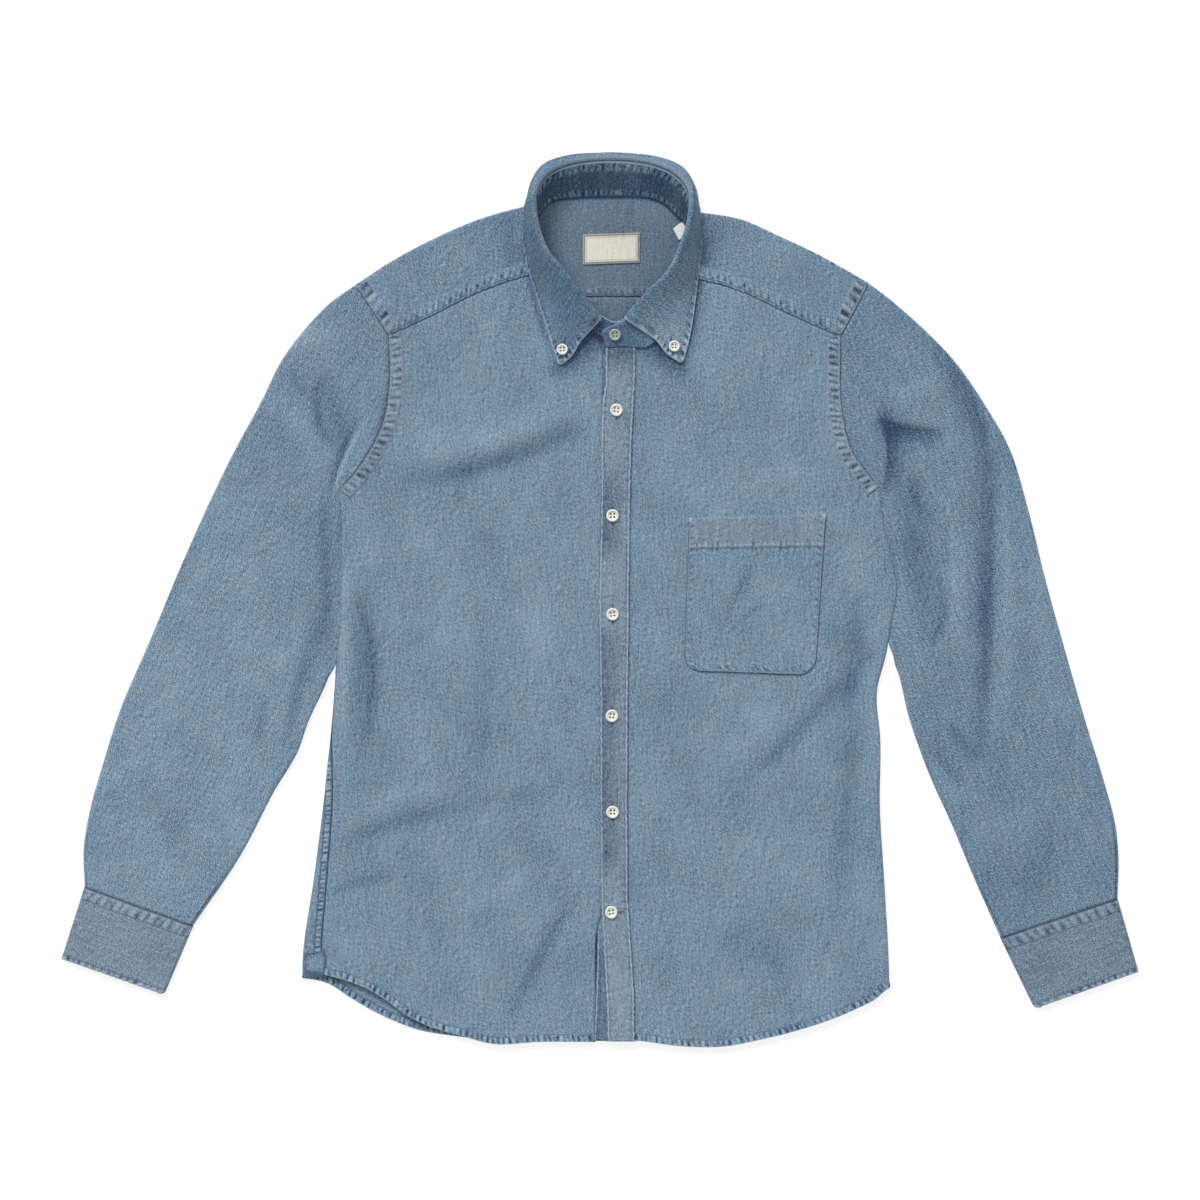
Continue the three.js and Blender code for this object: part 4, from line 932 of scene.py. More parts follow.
def flat_ring(plan, top, under_columns):
    """Rings across the upper layer, round the inner edge, back below, and round the outer edge."""
    start = turned(plan[:, 0], plan[:, 1], top[:, 0])[::-1]
    end = turned(plan[:, -1], plan[:, -2], top[:, -1])
    below = np.stack([under_layer(plan[..., k], under_columns) for k in (0, 1)], axis=-1)
    parts = (start.transpose(1, 0, 2), raised(plan, top)[:, 1:-1], end.transpose(1, 0, 2), raised(below, FLOOR))
    return np.concatenate(parts, axis=1)


def ring_facing(rings):
    """Unit normals of rings whose last point meets their first, pointing out of the tube."""
    padded = np.concatenate([rings[:, -1:], rings, rings[:, :1]], axis=1)
    normal = facing(padded)[:, 1:-1]
    return normal * (-1 if normal[:, TURN_STEPS + 10, 2].mean() < 0 else 1)


def around(rings):
    """How far each point of a ring is round it."""
    steps = np.linalg.norm(np.diff(rings, axis=1), axis=-1)
    return np.concatenate([np.zeros((len(rings), 1)), np.cumsum(steps, axis=1)], axis=1)


def sleeve_piece(side):
    """One sleeve, with the fell that joins it to the armhole."""
    v = np.linspace(0, 1, 204)
    u = np.linspace(0, 1, 68)
    outer = along(SLEEVE_OUTER[side], v)
    inner = along(SLEEVE_INNER[side], v)
    way = 1 if side == "right" else -1
    gap = (down(RIGHT_EDGE if side == "right" else LEFT_EDGE, inner[:, 1]) - inner[:, 0]) * way
    beside_body = inner[:, 1] < 97
    shift = np.minimum(np.maximum(gap - CLEAR, CLEAR - gap), 4 * (1 - ease(gap, 4, 8))) * beside_body
    inner[:, 0] += shift * way * np.sign(gap - CLEAR)
    close = (1 - ease(gap, 3, 9)) * (1 - ease(inner[:, 1], 86, 100))
    rest = below_yoke_seam(side, np.linspace(0, 1, 10))
    arm = through(ARMHOLE_HEAD[side][:3] + rest.tolist(), u * 12)
    cuff_edge = along(CUFF_SEAM[side], u)
    plan = outer[:, None] + (inner - outer)[:, None] * u[None, :, None]
    top_share = np.maximum(0, 1 - v / ARMHOLE_REACH)[:, None, None] ** 2
    plan = plan + bulge(arm)[None] * top_share + bulge(cuff_edge)[None] * (v**4)[:, None, None]

    grown = ease(v, 0, 0.15) * ease(1 - v, 0, 0.15)
    loft = 0.8 * grown[:, None] * np.maximum(np.sin(np.pi * u), 0)[None] ** 0.7
    tucked = TUCK * close[:, None] * ease(u, 0.86, 1)[None]
    top = np.maximum(LOWEST_UPPER + 0.4, upper(plan[..., 0], plan[..., 1], loft) - tucked)
    rings = flat_ring(plan, top, 18)
    normal = ring_facing(rings)
    lean = np.radians(-22 if side == "right" else 20)
    below = np.isclose(rings[..., 2], FLOOR) * OTHER_LAYER
    cloth = np.stack([
        rings[..., 0] * np.cos(lean) + rings[..., 1] * np.sin(lean) + below,
        rings[..., 1] * np.cos(lean) - rings[..., 0] * np.sin(lean),
    ], axis=-1)
    tone = 0.25 * ease(v, 0.2, 0.5)[:, None] - 0.1 if side == "right" else -0.25
    # Painted shade and light along the folds, and painted light on the turned edges, on the sleeve's own tone.
    shade = fold_shade(rings) + tone + painted_light_at_turn(normal)
    tube = shell(rings, normal, SHEET, cloth, shade, ringed=True)
    piece = cloth_piece(f"sleeve_{side}_tube", [tube], CHAMBRAY)
    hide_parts(f"sleeve_{side}")
    on_shoulder = through(ARMHOLE_HEAD[side], np.linspace(0.2, 2.97, 80))
    below_yoke = below_yoke_seam(side, np.linspace(0.01, 0.985, 200))
    lines = [(on_shoulder, 7.5, 0.2, 1.2, -0.3), (below_yoke, 6.0, 0.25, 1.0, 0.0)]
    fell = []
    for k, (line, pitch, slant, tone, grey) in enumerate(lines):
        line = line if side == "right" else line[::-1]
        lean = slant if side == "right" else -slant
        seed = 41 + k + (10 if side == "left" else 0)
        fell += sewn_strip(line, on_top, -0.9, 12.2, [0.7, 11.0], seed, pitch, lean, 0.45, tone,
                           dark=1.0, lift=0.1, grey=grey, row_dark=0.0, row_worn=0.55)
    sewing = cloth_piece(f"armhole_{side}_fell", fell, BAND_CLOTH)


for side in ("right", "left"):
    sleeve_piece(side)

# Cuffs: a fused, folded band on the end of each sleeve, laid flat with its opening underneath.
BAND = 1.4
CUFF_DEPTH = 72
CUFF_WIDTH = 108
CUFF_CORNER = 4.5
SEAM_ROWS = (1.2, 12.2)
HEM_ROW = 4.4


def round_ring(values, under_columns):
    """Marks of the upper layer carried round a flattened ring."""
    start = np.repeat(values[:, :1], TURN_STEPS + 1, axis=1)
    end = np.repeat(values[:, -1:], TURN_STEPS + 1, axis=1)
    return np.concatenate([start, values[:, 1:-1], end, under_layer(values, under_columns)], axis=1)


def corner_draw(radius, to_end):
    """How far a side is drawn in near its end, to round off the corner."""
    past = np.maximum(0, radius - to_end)
    return radius - np.sqrt(np.maximum(0, radius**2 - past**2))


def cuff_piece(side):
    """One cuff, drawn up along its seam and its edge."""
    v = np.linspace(0, 1, 73)
    u = np.linspace(0, 1, 96)
    outer = along([CUFF_SEAM[side][0], CUFF_HEM[side][0]], v)
    inner = along([CUFF_SEAM[side][1], CUFF_HEM[side][1]], v)
    draw_in = corner_draw(CUFF_CORNER, (1 - v) * CUFF_DEPTH)
    inner = inner + (outer - inner) * (draw_in / CUFF_WIDTH)[:, None]
    plan = outer[:, None] + (inner - outer)[:, None] * u[None, :, None]
    down_cuff = np.broadcast_to(v[:, None] * CUFF_DEPTH, plan.shape[:2])
    round_cuff = np.broadcast_to(u[None] * CUFF_WIDTH, plan.shape[:2])
    from_hem = CUFF_DEPTH - down_cuff
    seed = 61 if side == "right" else 65
    seam_ridges, seam_held = drawn_up(round_cuff, down_cuff, SEAM_ROWS, seed, pitch=8, slant=0.3)
    hem_ridges, hem_held = drawn_up(round_cuff, from_hem, [HEM_ROW], seed + 1, pitch=7.5, slant=0.1)
    at_seam = 1 - ease(down_cuff, 12, 15)
    at_hem = 1 - ease(from_hem, 4.5, 7)
    ridges = seam_ridges * at_seam + hem_ridges * at_hem
    held = np.maximum(seam_held * at_seam, hem_held * at_hem)
    rubbed = 0.3 * bell(down_cuff - 2.6, 0.8) + 0.7 * bell(from_hem, 1.1)
    top = TOP - 1 + 0.5 * np.sin(np.pi * u) + 0.34 * ridges - 0.15 * held
    rings = flat_ring(plan, top, 20)
    rings[..., 2] += BAND / 2 - FLOOR + 0.1
    cloth = np.stack([np.broadcast_to(-v[:, None] * CUFF_DEPTH, rings.shape[:2]), around(rings)], axis=-1)
    seam_line = np.clip(0.8 * bell(down_cuff, 0.6) + 0.4 * held, 0, 1)
    cuff_tone = 0.1 if side == "right" else -0.2
    zone_tone = cuff_tone - 0.05 * at_seam + (0.85 * at_seam + 1.4 * at_hem) * bars(ridges)
    marks = [round_ring(mark, 20) for mark in (zone_tone, seam_line, rubbed)]
    parts = [shell(rings, ring_facing(rings), BAND, cloth, *marks, ringed=True)]
    for row in (*SEAM_ROWS, CUFF_DEPTH - HEM_ROW):
        line = rings[int(round(row)), TURN_STEPS + 3:TURN_STEPS + 96]
        parts.append(stitches(line + (0, 0, BAND / 2)))
    piece = cloth_piece(f"cuff_{side}_band", parts, BAND_CLOTH)
    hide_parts(f"cuff_{side}")


for side in ("right", "left"):
    cuff_piece(side)

# Button band and placket: two straight folded bands down the centre front, the wearer's left over
# the right.
PLACKET = np.array([
    # y, right edge, left edge
    [234.8, 5, 33], [201, 5, 32.5], [186, 2, 31.5], [149, 1, 29.5], [93, 1, 28], [0, -1, 27],
    [-93, 0, 26], [-186, 0, 25.5], [-279, 1, 26], [-336, 4, 30], [-372, 6, 32], [-410.5, 7, 32],
])
PLACKET_LIFT = 1.7
PLACKET_WALL = 1.4
STITCH_IN = 2.6
BAND_WIDTH = 28


def front_band(name, y, right, left, lift, wall, seed, sewn, material, tone=0.0):
    """A straight folded band, edge-stitched down both sides."""
    beside_edge = np.array([0, 0.35, 0.7, 1.05, 1.4, 1.8, 2.2, 2.6, 3.0, 3.5, 4.2, 5.2, 6.5, 8.2, 10.2, 12.2])
    share = np.concatenate([beside_edge, BAND_WIDTH - beside_edge[::-1]]) / BAND_WIDTH
    way = np.broadcast_to((y[0] - y)[:, None], (len(y), len(share)))
    ripple = 0.45 * pucker(seed + 5, way[-1, 0], 6.5)(way[:, 0])
    right = right - ripple * sewn[:, 0]
    left = left + ripple * sewn[:, 0]
    x = right[:, None] + (left - right)[:, None] * share
    plan = np.stack([x, np.broadcast_to(y[:, None], x.shape)], axis=-1)
    from_right = x - right[:, None]
    from_left = left[:, None] - x
    ridges = np.zeros(x.shape)
    held = np.zeros(x.shape)
    for k, aside in enumerate((from_right, from_left)):
        drawn, kept_down = drawn_up(way, aside, [STITCH_IN], seed + k, pitch=6.5, slant=0.2)
        near = 1 - ease(aside, 4.2, 7.5)
        ridges = ridges + drawn * near
        held = np.maximum(held, kept_down)
    nearest = np.minimum(from_right, from_left)
    rubbed = 0.9 * bell(nearest - 1.25, 0.5) * (0.7 + 0.3 * pucker(seed + 7, way[-1, 0], 9)(way))
    # A painted shadow along both edges.
    edge_shadow = 0.85 * bell(nearest, 0.45)
    height = upper(np.full_like(x, CENTRE_FRONT), plan[..., 1]) + lift
    height = height + sewn * (0.3 * ridges - 0.2 * held) - 0.35 * bell(nearest, 0.7)
    middle = raised(plan, height)
    # Painted shade: two stretches down the middle and the wearer's right edge, and under the collar at the top.
    upper_shade_stretch = ease(plan[..., 1], 25, 60) * (1 - ease(plan[..., 1], 100, 125))
    lower_shade_stretch = ease(plan[..., 1], -265, -235) * (1 - ease(plan[..., 1], -40, -20))
    shade_stretch = np.maximum(upper_shade_stretch, lower_shade_stretch)
    band_tone = 0.3 + tone - 0.6 * shade_stretch * bell(x - CENTRE_FRONT, 8)
    band_tone = band_tone - 1.3 * ease(plan[..., 1], 205, 236) - 0.7 * shade_stretch * bell(from_right - 4, 5)
    held_and_edge_shadow = np.clip(0.3 * held + edge_shadow, 0, 1)
    marks = (sewn * (0.4 * bars(ridges) + band_tone), held_and_edge_shadow * sewn, rubbed * sewn)
    parts = [shell(middle, facing(middle), wall, plan, *marks)]
    stitched = middle[sewn[:, 0] > 0.5]
    for column in (7, len(share) - 8):
        parts.append(stitches(stitched[3:-3, column] + (0, 0, wall / 2)))
    piece = cloth_piece(name, parts, material)
    return piece


band_y = np.linspace(229, -410, 300)
band_sewn = 1 - ease(band_y, -345, -290)[:, None]
band_edges = np.interp(band_y, [-410, -359, -315, -280], [-5.6, -3.7, -2.3, -2]), np.full(len(band_y), 24.0)
band_drop = -1.0 * ease(band_y, -320, -280)[:, None]
button_band = front_band("button_band_strip", band_y, *band_edges, band_drop, SHEET, 71, band_sewn,
                         CHAMBRAY, tone=-1.0)
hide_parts("button_band")
placket_y = np.linspace(234.8, -410.5, 540)
placket_edges = [np.interp(placket_y, PLACKET[::-1, 0], PLACKET[::-1, k]) for k in (1, 2)]
placket = front_band("placket_strip", placket_y, *placket_edges, PLACKET_LIFT, PLACKET_WALL, 81,
                     np.ones((540, 1)), BAND_CLOTH)
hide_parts("front_placket")

# Pocket: a patch with a folded hem band across its mouth, topstitched on the left chest.
POCKET = {"top_left": [83, 76.5], "top_right": [210, 80], "foot_left": [78, -66], "foot_right": [200, -69.5]}
POCKET_ROUND = 16
POCKET_BAND = 28
corners = {key: np.array(value, float) for key, value in POCKET.items()}
pocket_depth = corners["top_left"][1] - corners["foot_left"][1]
depths = np.concatenate([
    [0, 0.5, 1, 1.6, 2.2, 3], np.linspace(4, 24, 16), np.linspace(24.7, 32, 13),
    np.linspace(33.5, pocket_depth - 4, 58),
    pocket_depth - np.array([3, 2.3, 1.8, 1.4, 1.05, 0.7, 0.35, 0]),
])
share = (depths / pocket_depth)[:, None]
pocket_left = corners["top_left"] * (1 - share) + corners["foot_left"] * share
pocket_right = corners["top_right"] * (1 - share) + corners["foot_right"] * share
draw_in = corner_draw(POCKET_ROUND, pocket_depth - depths)
pocket_left[:, 0] += draw_in
pocket_right[:, 0] -= draw_in
near_edge = np.array([0, 0.35, 0.7, 1.05, 1.4, 1.8, 2.3, 3.0])
pocket_across = np.concatenate([near_edge, np.linspace(4, 122, 92), 126 - near_edge[::-1]]) / 126
pocket_plan = pocket_left[:, None] + (pocket_right - pocket_left)[:, None] * pocket_across[None, :, None]
pocket_wall = np.where(depths <= POCKET_BAND, 1.3, 0.9)[:, None]
way_down = np.broadcast_to(depths[:, None], pocket_plan.shape[:2])
way_across = pocket_plan[..., 0] - pocket_plan[:, :1, 0]
from_side = np.minimum(way_across, pocket_plan[:, -1:, 0] - pocket_plan[..., 0])
from_foot = pocket_depth - way_down
side_ridges, side_held = drawn_up(way_down, from_side, [1.6], 91, pitch=5.5, slant=0.6)
foot_ridges, foot_held = drawn_up(way_across, from_foot, [1.6], 92, pitch=5.5, slant=0.4)
band_ridges, band_held = drawn_up(way_across, way_down, [POCKET_BAND], 93, pitch=4.6, slant=0.1)
near_side = 1 - ease(from_side, 2.5, 7)
near_foot = 1 - ease(from_foot, 2.5, 8)
near_band = 1 - ease(np.abs(way_down - POCKET_BAND), 1.5, 6)
streaks = pucker(94, 150, 9)(way_across) * ease(POCKET_BAND - way_down, 0, 3)
pocket_ridges = side_ridges * near_side + foot_ridges * near_foot + 0.8 * band_ridges * near_band
pocket_ridges = pocket_ridges + 0.12 * streaks
pocket_held = np.max([side_held, foot_held, band_held], axis=0)
from_edge = np.minimum(from_side, from_foot)
rim = bell(from_edge - 1.2, 0.5)
# A painted shadow along the pocket's edges.
edge_shadow = bell(from_edge, 0.5)
mouth = bell(way_down, 1.2)
tacks = bell(from_side, 3) * bell(way_down - 1.5, 1.8)
under_hem = bell(way_down - POCKET_BAND - 1.4, 0.6)
over_hem = bell(way_down - POCKET_BAND + 1.6, 1.0) * (0.5 + 0.5 * band_ridges)
pocket_wear = 0.55 * rim + 0.3 * mouth + 1.3 * tacks + 0.8 * over_hem
pocket_seam_and_shadow = np.clip(0.25 * pocket_held + 0.45 * under_hem + 0.9 * edge_shadow, 0, 1)
pocket_height = on_top(pocket_plan)[..., 2] + 0.95 + pocket_wall / 2
pocket_middle = raised(pocket_plan, pocket_height + 0.26 * pocket_ridges - 0.15 * pocket_held)
# Puckers' tone, with painted shade and light along the folds.
pocket_tone = bars(pocket_ridges) + fold_shade(pocket_plan)
pocket_tone = pocket_tone + 0.1 * (way_down < POCKET_BAND)
pocket_parts = [shell(pocket_middle, facing(pocket_middle), pocket_wall, pocket_plan, pocket_tone,
                      pocket_seam_and_shadow, np.clip(pocket_wear, 0, 1))]
hem_row = int(np.argmin(np.abs(depths - POCKET_BAND + 1.6)))
for line in (pocket_middle[:, 4], pocket_middle[:, -5], pocket_middle[-5], pocket_middle[hem_row, 3:-3]):
    pocket_parts.append(stitches(line + (0, 0, 0.6)))
pocket = cloth_piece("pocket_patch", pocket_parts, CHAMBRAY)
pocket.data.materials.append(BAND_CLOTH)
for face in pocket.data.polygons:
    face.material_index = int(face.center.y * 1000 > POCKET["top_left"][1] - POCKET_BAND)
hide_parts("pocket")

# Collar: a fused stand that the neck edge is sewn into, and a leaf that turns over it and buttons
# down at its points. Both are drawn through the same sections round the neck.
COLLAR = np.array([
    # neck seam, top of the stand, middle of the leaf, free edge of the leaf
    [3, 244, 5.8, 1.5, 258, 8.2, -18, 240, 9.0, -38, 217, 7.3],
    [-13, 256, 6.6, -18, 283, 15, -34, 262, 12.5, -45, 239, 7.2],
    [-26, 279, 6.6, -33, 304, 21, -47, 286, 15.5, -53, 265, 7.1],
    [-36, 296, 6.6, -46, 320, 24.5, -57, 305, 17, -60, 288, 7.1],
    [-44, 312, 6.6, -53, 335, 27, -64, 323, 18, -67, 309, 7.1],
    [-53, 330, 6.6, -57, 349, 28.5, -68, 340, 18, -71, 331, 7.1],
    [-58, 345, 6.6, -59, 361, 29, -68.5, 355, 18, -71, 349, 7.1],
    [-57, 357, 5.4, -59.5, 372, 28.5, -67.5, 371, 17, -69.5, 369, 6.2],
    [-48, 367.5, 3.2, -54, 387, 26, -63.5, 389, 13, -63, 379, 1.2],
    [-40, 371.5, 2.2, -44, 397, 22.5, -53, 404, 9, -47, 384, 1],
    [-20, 374, 2.0, -24, 404.5, 18.5, -28.5, 413, 6.5, -22, 384, 1],
    [12, 374.8, 2.0, 13, 408, 16.5, 13.5, 414.4, 6, 13, 385, 1],
    [43, 374, 2.0, 49, 403.5, 18.5, 53, 411.5, 6.5, 46, 384, 1],
    [59, 368.5, 2.2, 68, 395, 22.5, 77.5, 401, 9, 70, 381, 1],
    [71, 357.5, 3.2, 80, 382, 26, 88.5, 383, 13, 88, 372, 1.2],
    [80, 349, 5.4, 83, 368, 28.5, 91.5, 366, 17, 93, 362, 6.2],
    [81, 338, 6.6, 82, 356, 29, 92, 351, 18, 94.5, 345, 7.1],
    [78, 323, 6.6, 79, 341, 28, 90.5, 334, 18, 94.5, 328, 7.1],
    [71, 309, 6.6, 73, 325, 26.5, 86, 317, 17.5, 92.5, 310, 7.1],
    [62, 295, 6.6, 66, 309, 24, 81, 299, 16.5, 90, 291, 7.1],
    [53, 280, 6.6, 56, 295, 20.5, 73, 283, 15, 88, 273, 7.1],
    [54, 247, 6.6, 42, 277, 15, 63, 262, 12.5, 84, 247, 7.2],
    [45, 235.6, 6.6, 27, 257.5, 10.2, 51, 242, 9.6, 77, 219, 7.4],
])
# The band's two ends: the lower one runs under the upper one, which is rounded and shows its button.
BAND_END = np.array([
    [24, 237, 5.9, 26, 264, 6.8], [14, 238, 5.9, 15, 258.9, 7.2], [3, 244, 5.8, 3, 263.5, 8.2],
    [45, 235.6, 6.6, 27, 263.5, 10.2], [24, 235.3, 7.3, 22, 259.8, 9.9], [14, 235.3, 7.4, 13.6, 255.9, 9.4],
    [8, 235.3, 7.4, 7, 253.2, 9.0], [5.4, 235.7, 7.4, 2.6, 250.3, 8.7], [4.6, 237.2, 7.4, 1.6, 247, 8.5],
])
COLLAR_CLOTH = washed_cloth("collar_cloth", (94, 126, 151), (36, 54, 82), (172, 190, 204),
                            (102, 122, 136), 0.85)
FUSED = 1.2
STAND_HEIGHT = 28

stand_rows = np.concatenate([BAND_END[:3], COLLAR[1:-1, :6], BAND_END[3:]])
stations = np.linspace(0, len(stand_rows) - 1, 420)
stand_base = through(stand_rows[:, :3], stations)
stand_top = through(stand_rows[:, 3:], stations)
rise = np.linspace(0, 1, 26)[None, :, None]
stand_middle = stand_base[:, None] * (1 - rise) + stand_top[:, None] * rise
stand_way = np.broadcast_to(runs(stand_base)[:, None], stand_middle.shape[:2])
stand_up = np.broadcast_to(rise[..., 0] * STAND_HEIGHT, stand_middle.shape[:2])
stand_cloth = np.stack([stand_way, stand_up], axis=-1)
from_roll = STAND_HEIGHT - stand_up
teeth, held = drawn_up(stand_way, from_roll, [0.8], 101, pitch=5, slant=0.3)
base_teeth, base_held = drawn_up(stand_way, stand_up, [0.6], 102, pitch=5, slant=0.2)
at_back = ease(stand_middle[..., 1], 262, 330)
in_teeth = ease(from_roll, 0.8, 2) * (1 - ease(from_roll, 7, 8.6))
in_base = ease(stand_up, 0.6, 1.6) * (1 - ease(stand_up, 4.5, 7))
ridges = (teeth * in_teeth + base_teeth * in_base) * at_back
stand_middle = stand_middle + facing(stand_middle) * (0.35 * ridges)[..., None]
mottled = 0.25 * pucker(103, stand_way[-1, 0], 34)(stand_way + 0.4 * stand_up)
# Painted shadow on the band under the left leaf and at its upper end, and painted shade over its inner back.
shadow_under_leaf = (1 - ease(stand_way, 34, 74)) * ease(from_roll, 1, 3)
upper_end_shadow = ease(stand_way, stand_way[-1, 0] - 62, stand_way[-1, 0] - 20)
stand_shade = -1.2 * shadow_under_leaf - 0.8 * upper_end_shadow + 1.1 * bars(ridges)
stand_shade = stand_shade - (0.85 - mottled) * at_back * (1 - 0.6 * in_teeth) * (1 - 0.4 * in_base)
# The inner back is also darkened through the seam mark as painted shade, besides the seam at its foot.
stand_seam_and_shade = (0.4 * (1 - 0.75 * in_teeth) * (1 - 0.5 * in_base) + 0.3 * base_held) * at_back
stitched = bell(from_roll - 1.0, 0.6) * at_back
band_edge = bell(from_roll, 0.9) * (1 - at_back)
stand_shell = shell(stand_middle, facing(stand_middle), FUSED, stand_cloth, stand_shade,
                    np.clip(stand_seam_and_shade, 0, 1), 0.75 * stitched + 0.7 * band_edge)
stand = cloth_piece("collar_stand_band", [stand_shell], COLLAR_CLOTH)
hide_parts("collar_stand")

LEAF_RISE = 4.4
LEAF_TURN = 1.9
LEAF_STITCH = 5.4
POINT_BOW = 2.6
POINT_ROUND = 5
stations = np.linspace(0, len(COLLAR) - 1, 380)
base, top, middle, edge = [through(COLLAR[:, k:k + 3], stations) for k in (0, 3, 6, 9)]
upwards = unit(top - base)
outwards = unit(np.cross(upwards, np.gradient(top, axis=0)))
seam = top + upwards * 0.45
crest = seam + upwards * LEAF_RISE
over = crest + upwards * LEAF_TURN + outwards * LEAF_TURN
fall = crest + outwards * 2 * LEAF_TURN
# The front edges bow out over the point buttons.
half_way = (middle + edge) / 2
near_point = np.clip(1 - np.minimum(stations, len(COLLAR) - 1 - stations) / 0.9, 0, 1)[:, None] ** 2
towards_front = np.where(stations < len(COLLAR) / 2, 1, -1)[:, None] * np.array([0.75, -0.66, 0])
towards_front[stations >= len(COLLAR) / 2] *= (1, -1, 1)
half_way = half_way + towards_front * near_point * POINT_BOW
leaf_lines = np.stack([seam, crest, over, fall, middle, half_way, edge])
leaf_across = np.concatenate([np.linspace(0, 4, 29)[:-1], np.linspace(4, 6, 40)])
leaf_middle = through(leaf_lines, leaf_across).transpose(1, 0, 2)
leaf_round = around(leaf_middle)
leaf_way = np.broadcast_to(runs(middle)[:, None], leaf_middle.shape[:2])
from_free = leaf_round[:, -1:] - leaf_round
from_front = np.minimum(leaf_way, leaf_way[-1, 0] - leaf_way)


def rounded_off(from_one, from_other, radius):
    """How far the grid in a corner is drawn in from its two edges, to make a quarter circle."""
    near_one = np.clip(1 - from_one / radius, 0, 1)
    near_other = np.clip(1 - from_other / radius, 0, 1)
    spread = np.maximum(np.hypot(near_one, near_other), 1e-6)
    shrink = (1 - np.maximum(near_one, near_other) / spread) * radius
    return shrink * near_one, shrink * near_other


in_front, in_free = rounded_off(from_front, from_free, POINT_ROUND)
up_leaf = unit(-np.gradient(leaf_middle, axis=1))
along_leaf = unit(np.gradient(leaf_middle, axis=0))
inwards = np.where(leaf_way < leaf_way[-1, 0] / 2, 1, -1)[..., None]
leaf_middle = leaf_middle + up_leaf * in_free[..., None] + along_leaf * inwards * in_front[..., None]
free_ridges, free_held = drawn_up(leaf_way, from_free, [LEAF_STITCH], 111, pitch=5.2, slant=0.3)
front_ridges, front_held = drawn_up(leaf_round, from_front, [LEAF_STITCH], 112, pitch=5.2, slant=0.3)
near_free = 1 - ease(from_free, LEAF_STITCH, LEAF_STITCH + 3)
near_front = (1 - ease(from_front, LEAF_STITCH, LEAF_STITCH + 3)) * ease(leaf_round, 9, 12)
leaf_ridges = free_ridges * near_free + front_ridges * near_front * (1 - near_free)
leaf_held = np.maximum(free_held, front_held * ease(leaf_round, 9, 12))
rolled_edge = bell(leaf_round - 3.2, 1.6)
rim = bell(np.minimum(from_free, from_front), 1.3)
leaf_middle = leaf_middle + facing(leaf_middle) * (0.32 * leaf_ridges)[..., None]
leaf_middle[..., 2] = np.maximum(leaf_middle[..., 2], FUSED / 2 + 0.1)
leaf_cloth = np.stack([leaf_way, leaf_round], axis=-1)
point_tone = bell(from_free + from_front, 26)
# Painted shade over the leaf's fall, painted light on the right leaf and towards the free edge at the fronts.
leaf_shade = (1.2 + 0.6 * point_tone) * bars(leaf_ridges) - 0.45 * ease(leaf_round, 5, 13)
leaf_shade = leaf_shade + 0.5 * ease(leaf_middle[..., 0], 20, 60) * ease(leaf_round, 8, 20)
leaf_shade = leaf_shade + 0.3 * ease(leaf_round, 30, 55) * (1 - ease(leaf_middle[..., 1], 300, 350))
leaf_shell = shell(leaf_middle, facing(leaf_middle), FUSED, leaf_cloth, leaf_shade, 0.25 * leaf_held,
                   np.clip(0.95 * rim + 0.5 * rolled_edge, 0, 1))
leaf = cloth_piece("collar_leaf_fold", [leaf_shell], COLLAR_CLOTH)
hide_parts("collar_leaf")

# Label, size tab and gusset: a woven patch on the inside of the yoke, a folded tape beside it, and
# a small cloth patch at the foot of the right side seam.
LABEL_TAPE = washed_cloth("label_tape", (224, 221, 207), (52, 46, 44), (240, 238, 228),
                          (220, 216, 202), 0.25)
TAB_TAPE = washed_cloth("tab_tape", (240, 240, 238), (190, 190, 188), (250, 250, 250),
                        (236, 236, 236), 0.2)


def corner_patch(name, node_name, points, height, wall, material, border=0.0,
                 rounded=0.0):
    """A small patch between four corners, with a woven line inside its edge where border is set."""
    a, b, c, d = np.array(points, float)
    wide, deep = np.linalg.norm(b - a), np.linalg.norm(d - a)
    v = np.linspace(0, 1, int(deep / 0.7))[:, None, None]
    u = np.linspace(0, 1, int(wide / 0.7))[None, :, None]
    plan = (a * (1 - u) + b * u) * (1 - v) + (d * (1 - u) + c * u) * v
    if rounded:
        in_right, in_top = rounded_off((1 - u) * wide, v * deep, rounded)
        plan = plan - (b - a) / wide * in_right + (d - a) / deep * in_top
    middle = raised(plan, height(plan))
    inset = np.minimum(np.minimum(u, 1 - u) * wide, np.minimum(v, 1 - v) * deep)[..., 0]
    woven = np.exp(-(((inset - 1.4) / 0.75) ** 4)) + 0.5 * bell(inset - 3.4, 0.4)
    folded_edge = 0.5 * bell(inset, 0.4)
    marks = (0, np.clip(border * (woven + folded_edge), 0, 1))
    piece = cloth_piece(name, [shell(middle, facing(middle), wall, plan, *marks)], material)
    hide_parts(node_name)
    return piece


def lying_in_neck(plan):
    """Height of a tape that lies on the inside of the yoke."""
    return np.full(plan.shape[:2], 1.9)


def on_side_seam(plan):
    """Height of the gusset, which lies on the upper layer."""
    return upper(plan[..., 0], plan[..., 1]) + 1.4


corner_patch("neck_label", "label", [[-16, 340], [37, 342], [37, 314], [-16, 312]], lying_in_neck, 0.7,
             LABEL_TAPE, border=0.85)
corner_patch("size_tab_tape", "size_tab", [[79.5, 354.5], [68, 345.5], [73.5, 334.8], [79.5, 338.5]],
             lying_in_neck, 0.7, TAB_TAPE)
corner_patch("side_gusset", "gusset", [[-275, -329], [-253, -324.5], [-257, -348.5], [-275, -346.5]],
             on_side_seam, 0.8, CHAMBRAY,
             border=0.75, rounded=8)

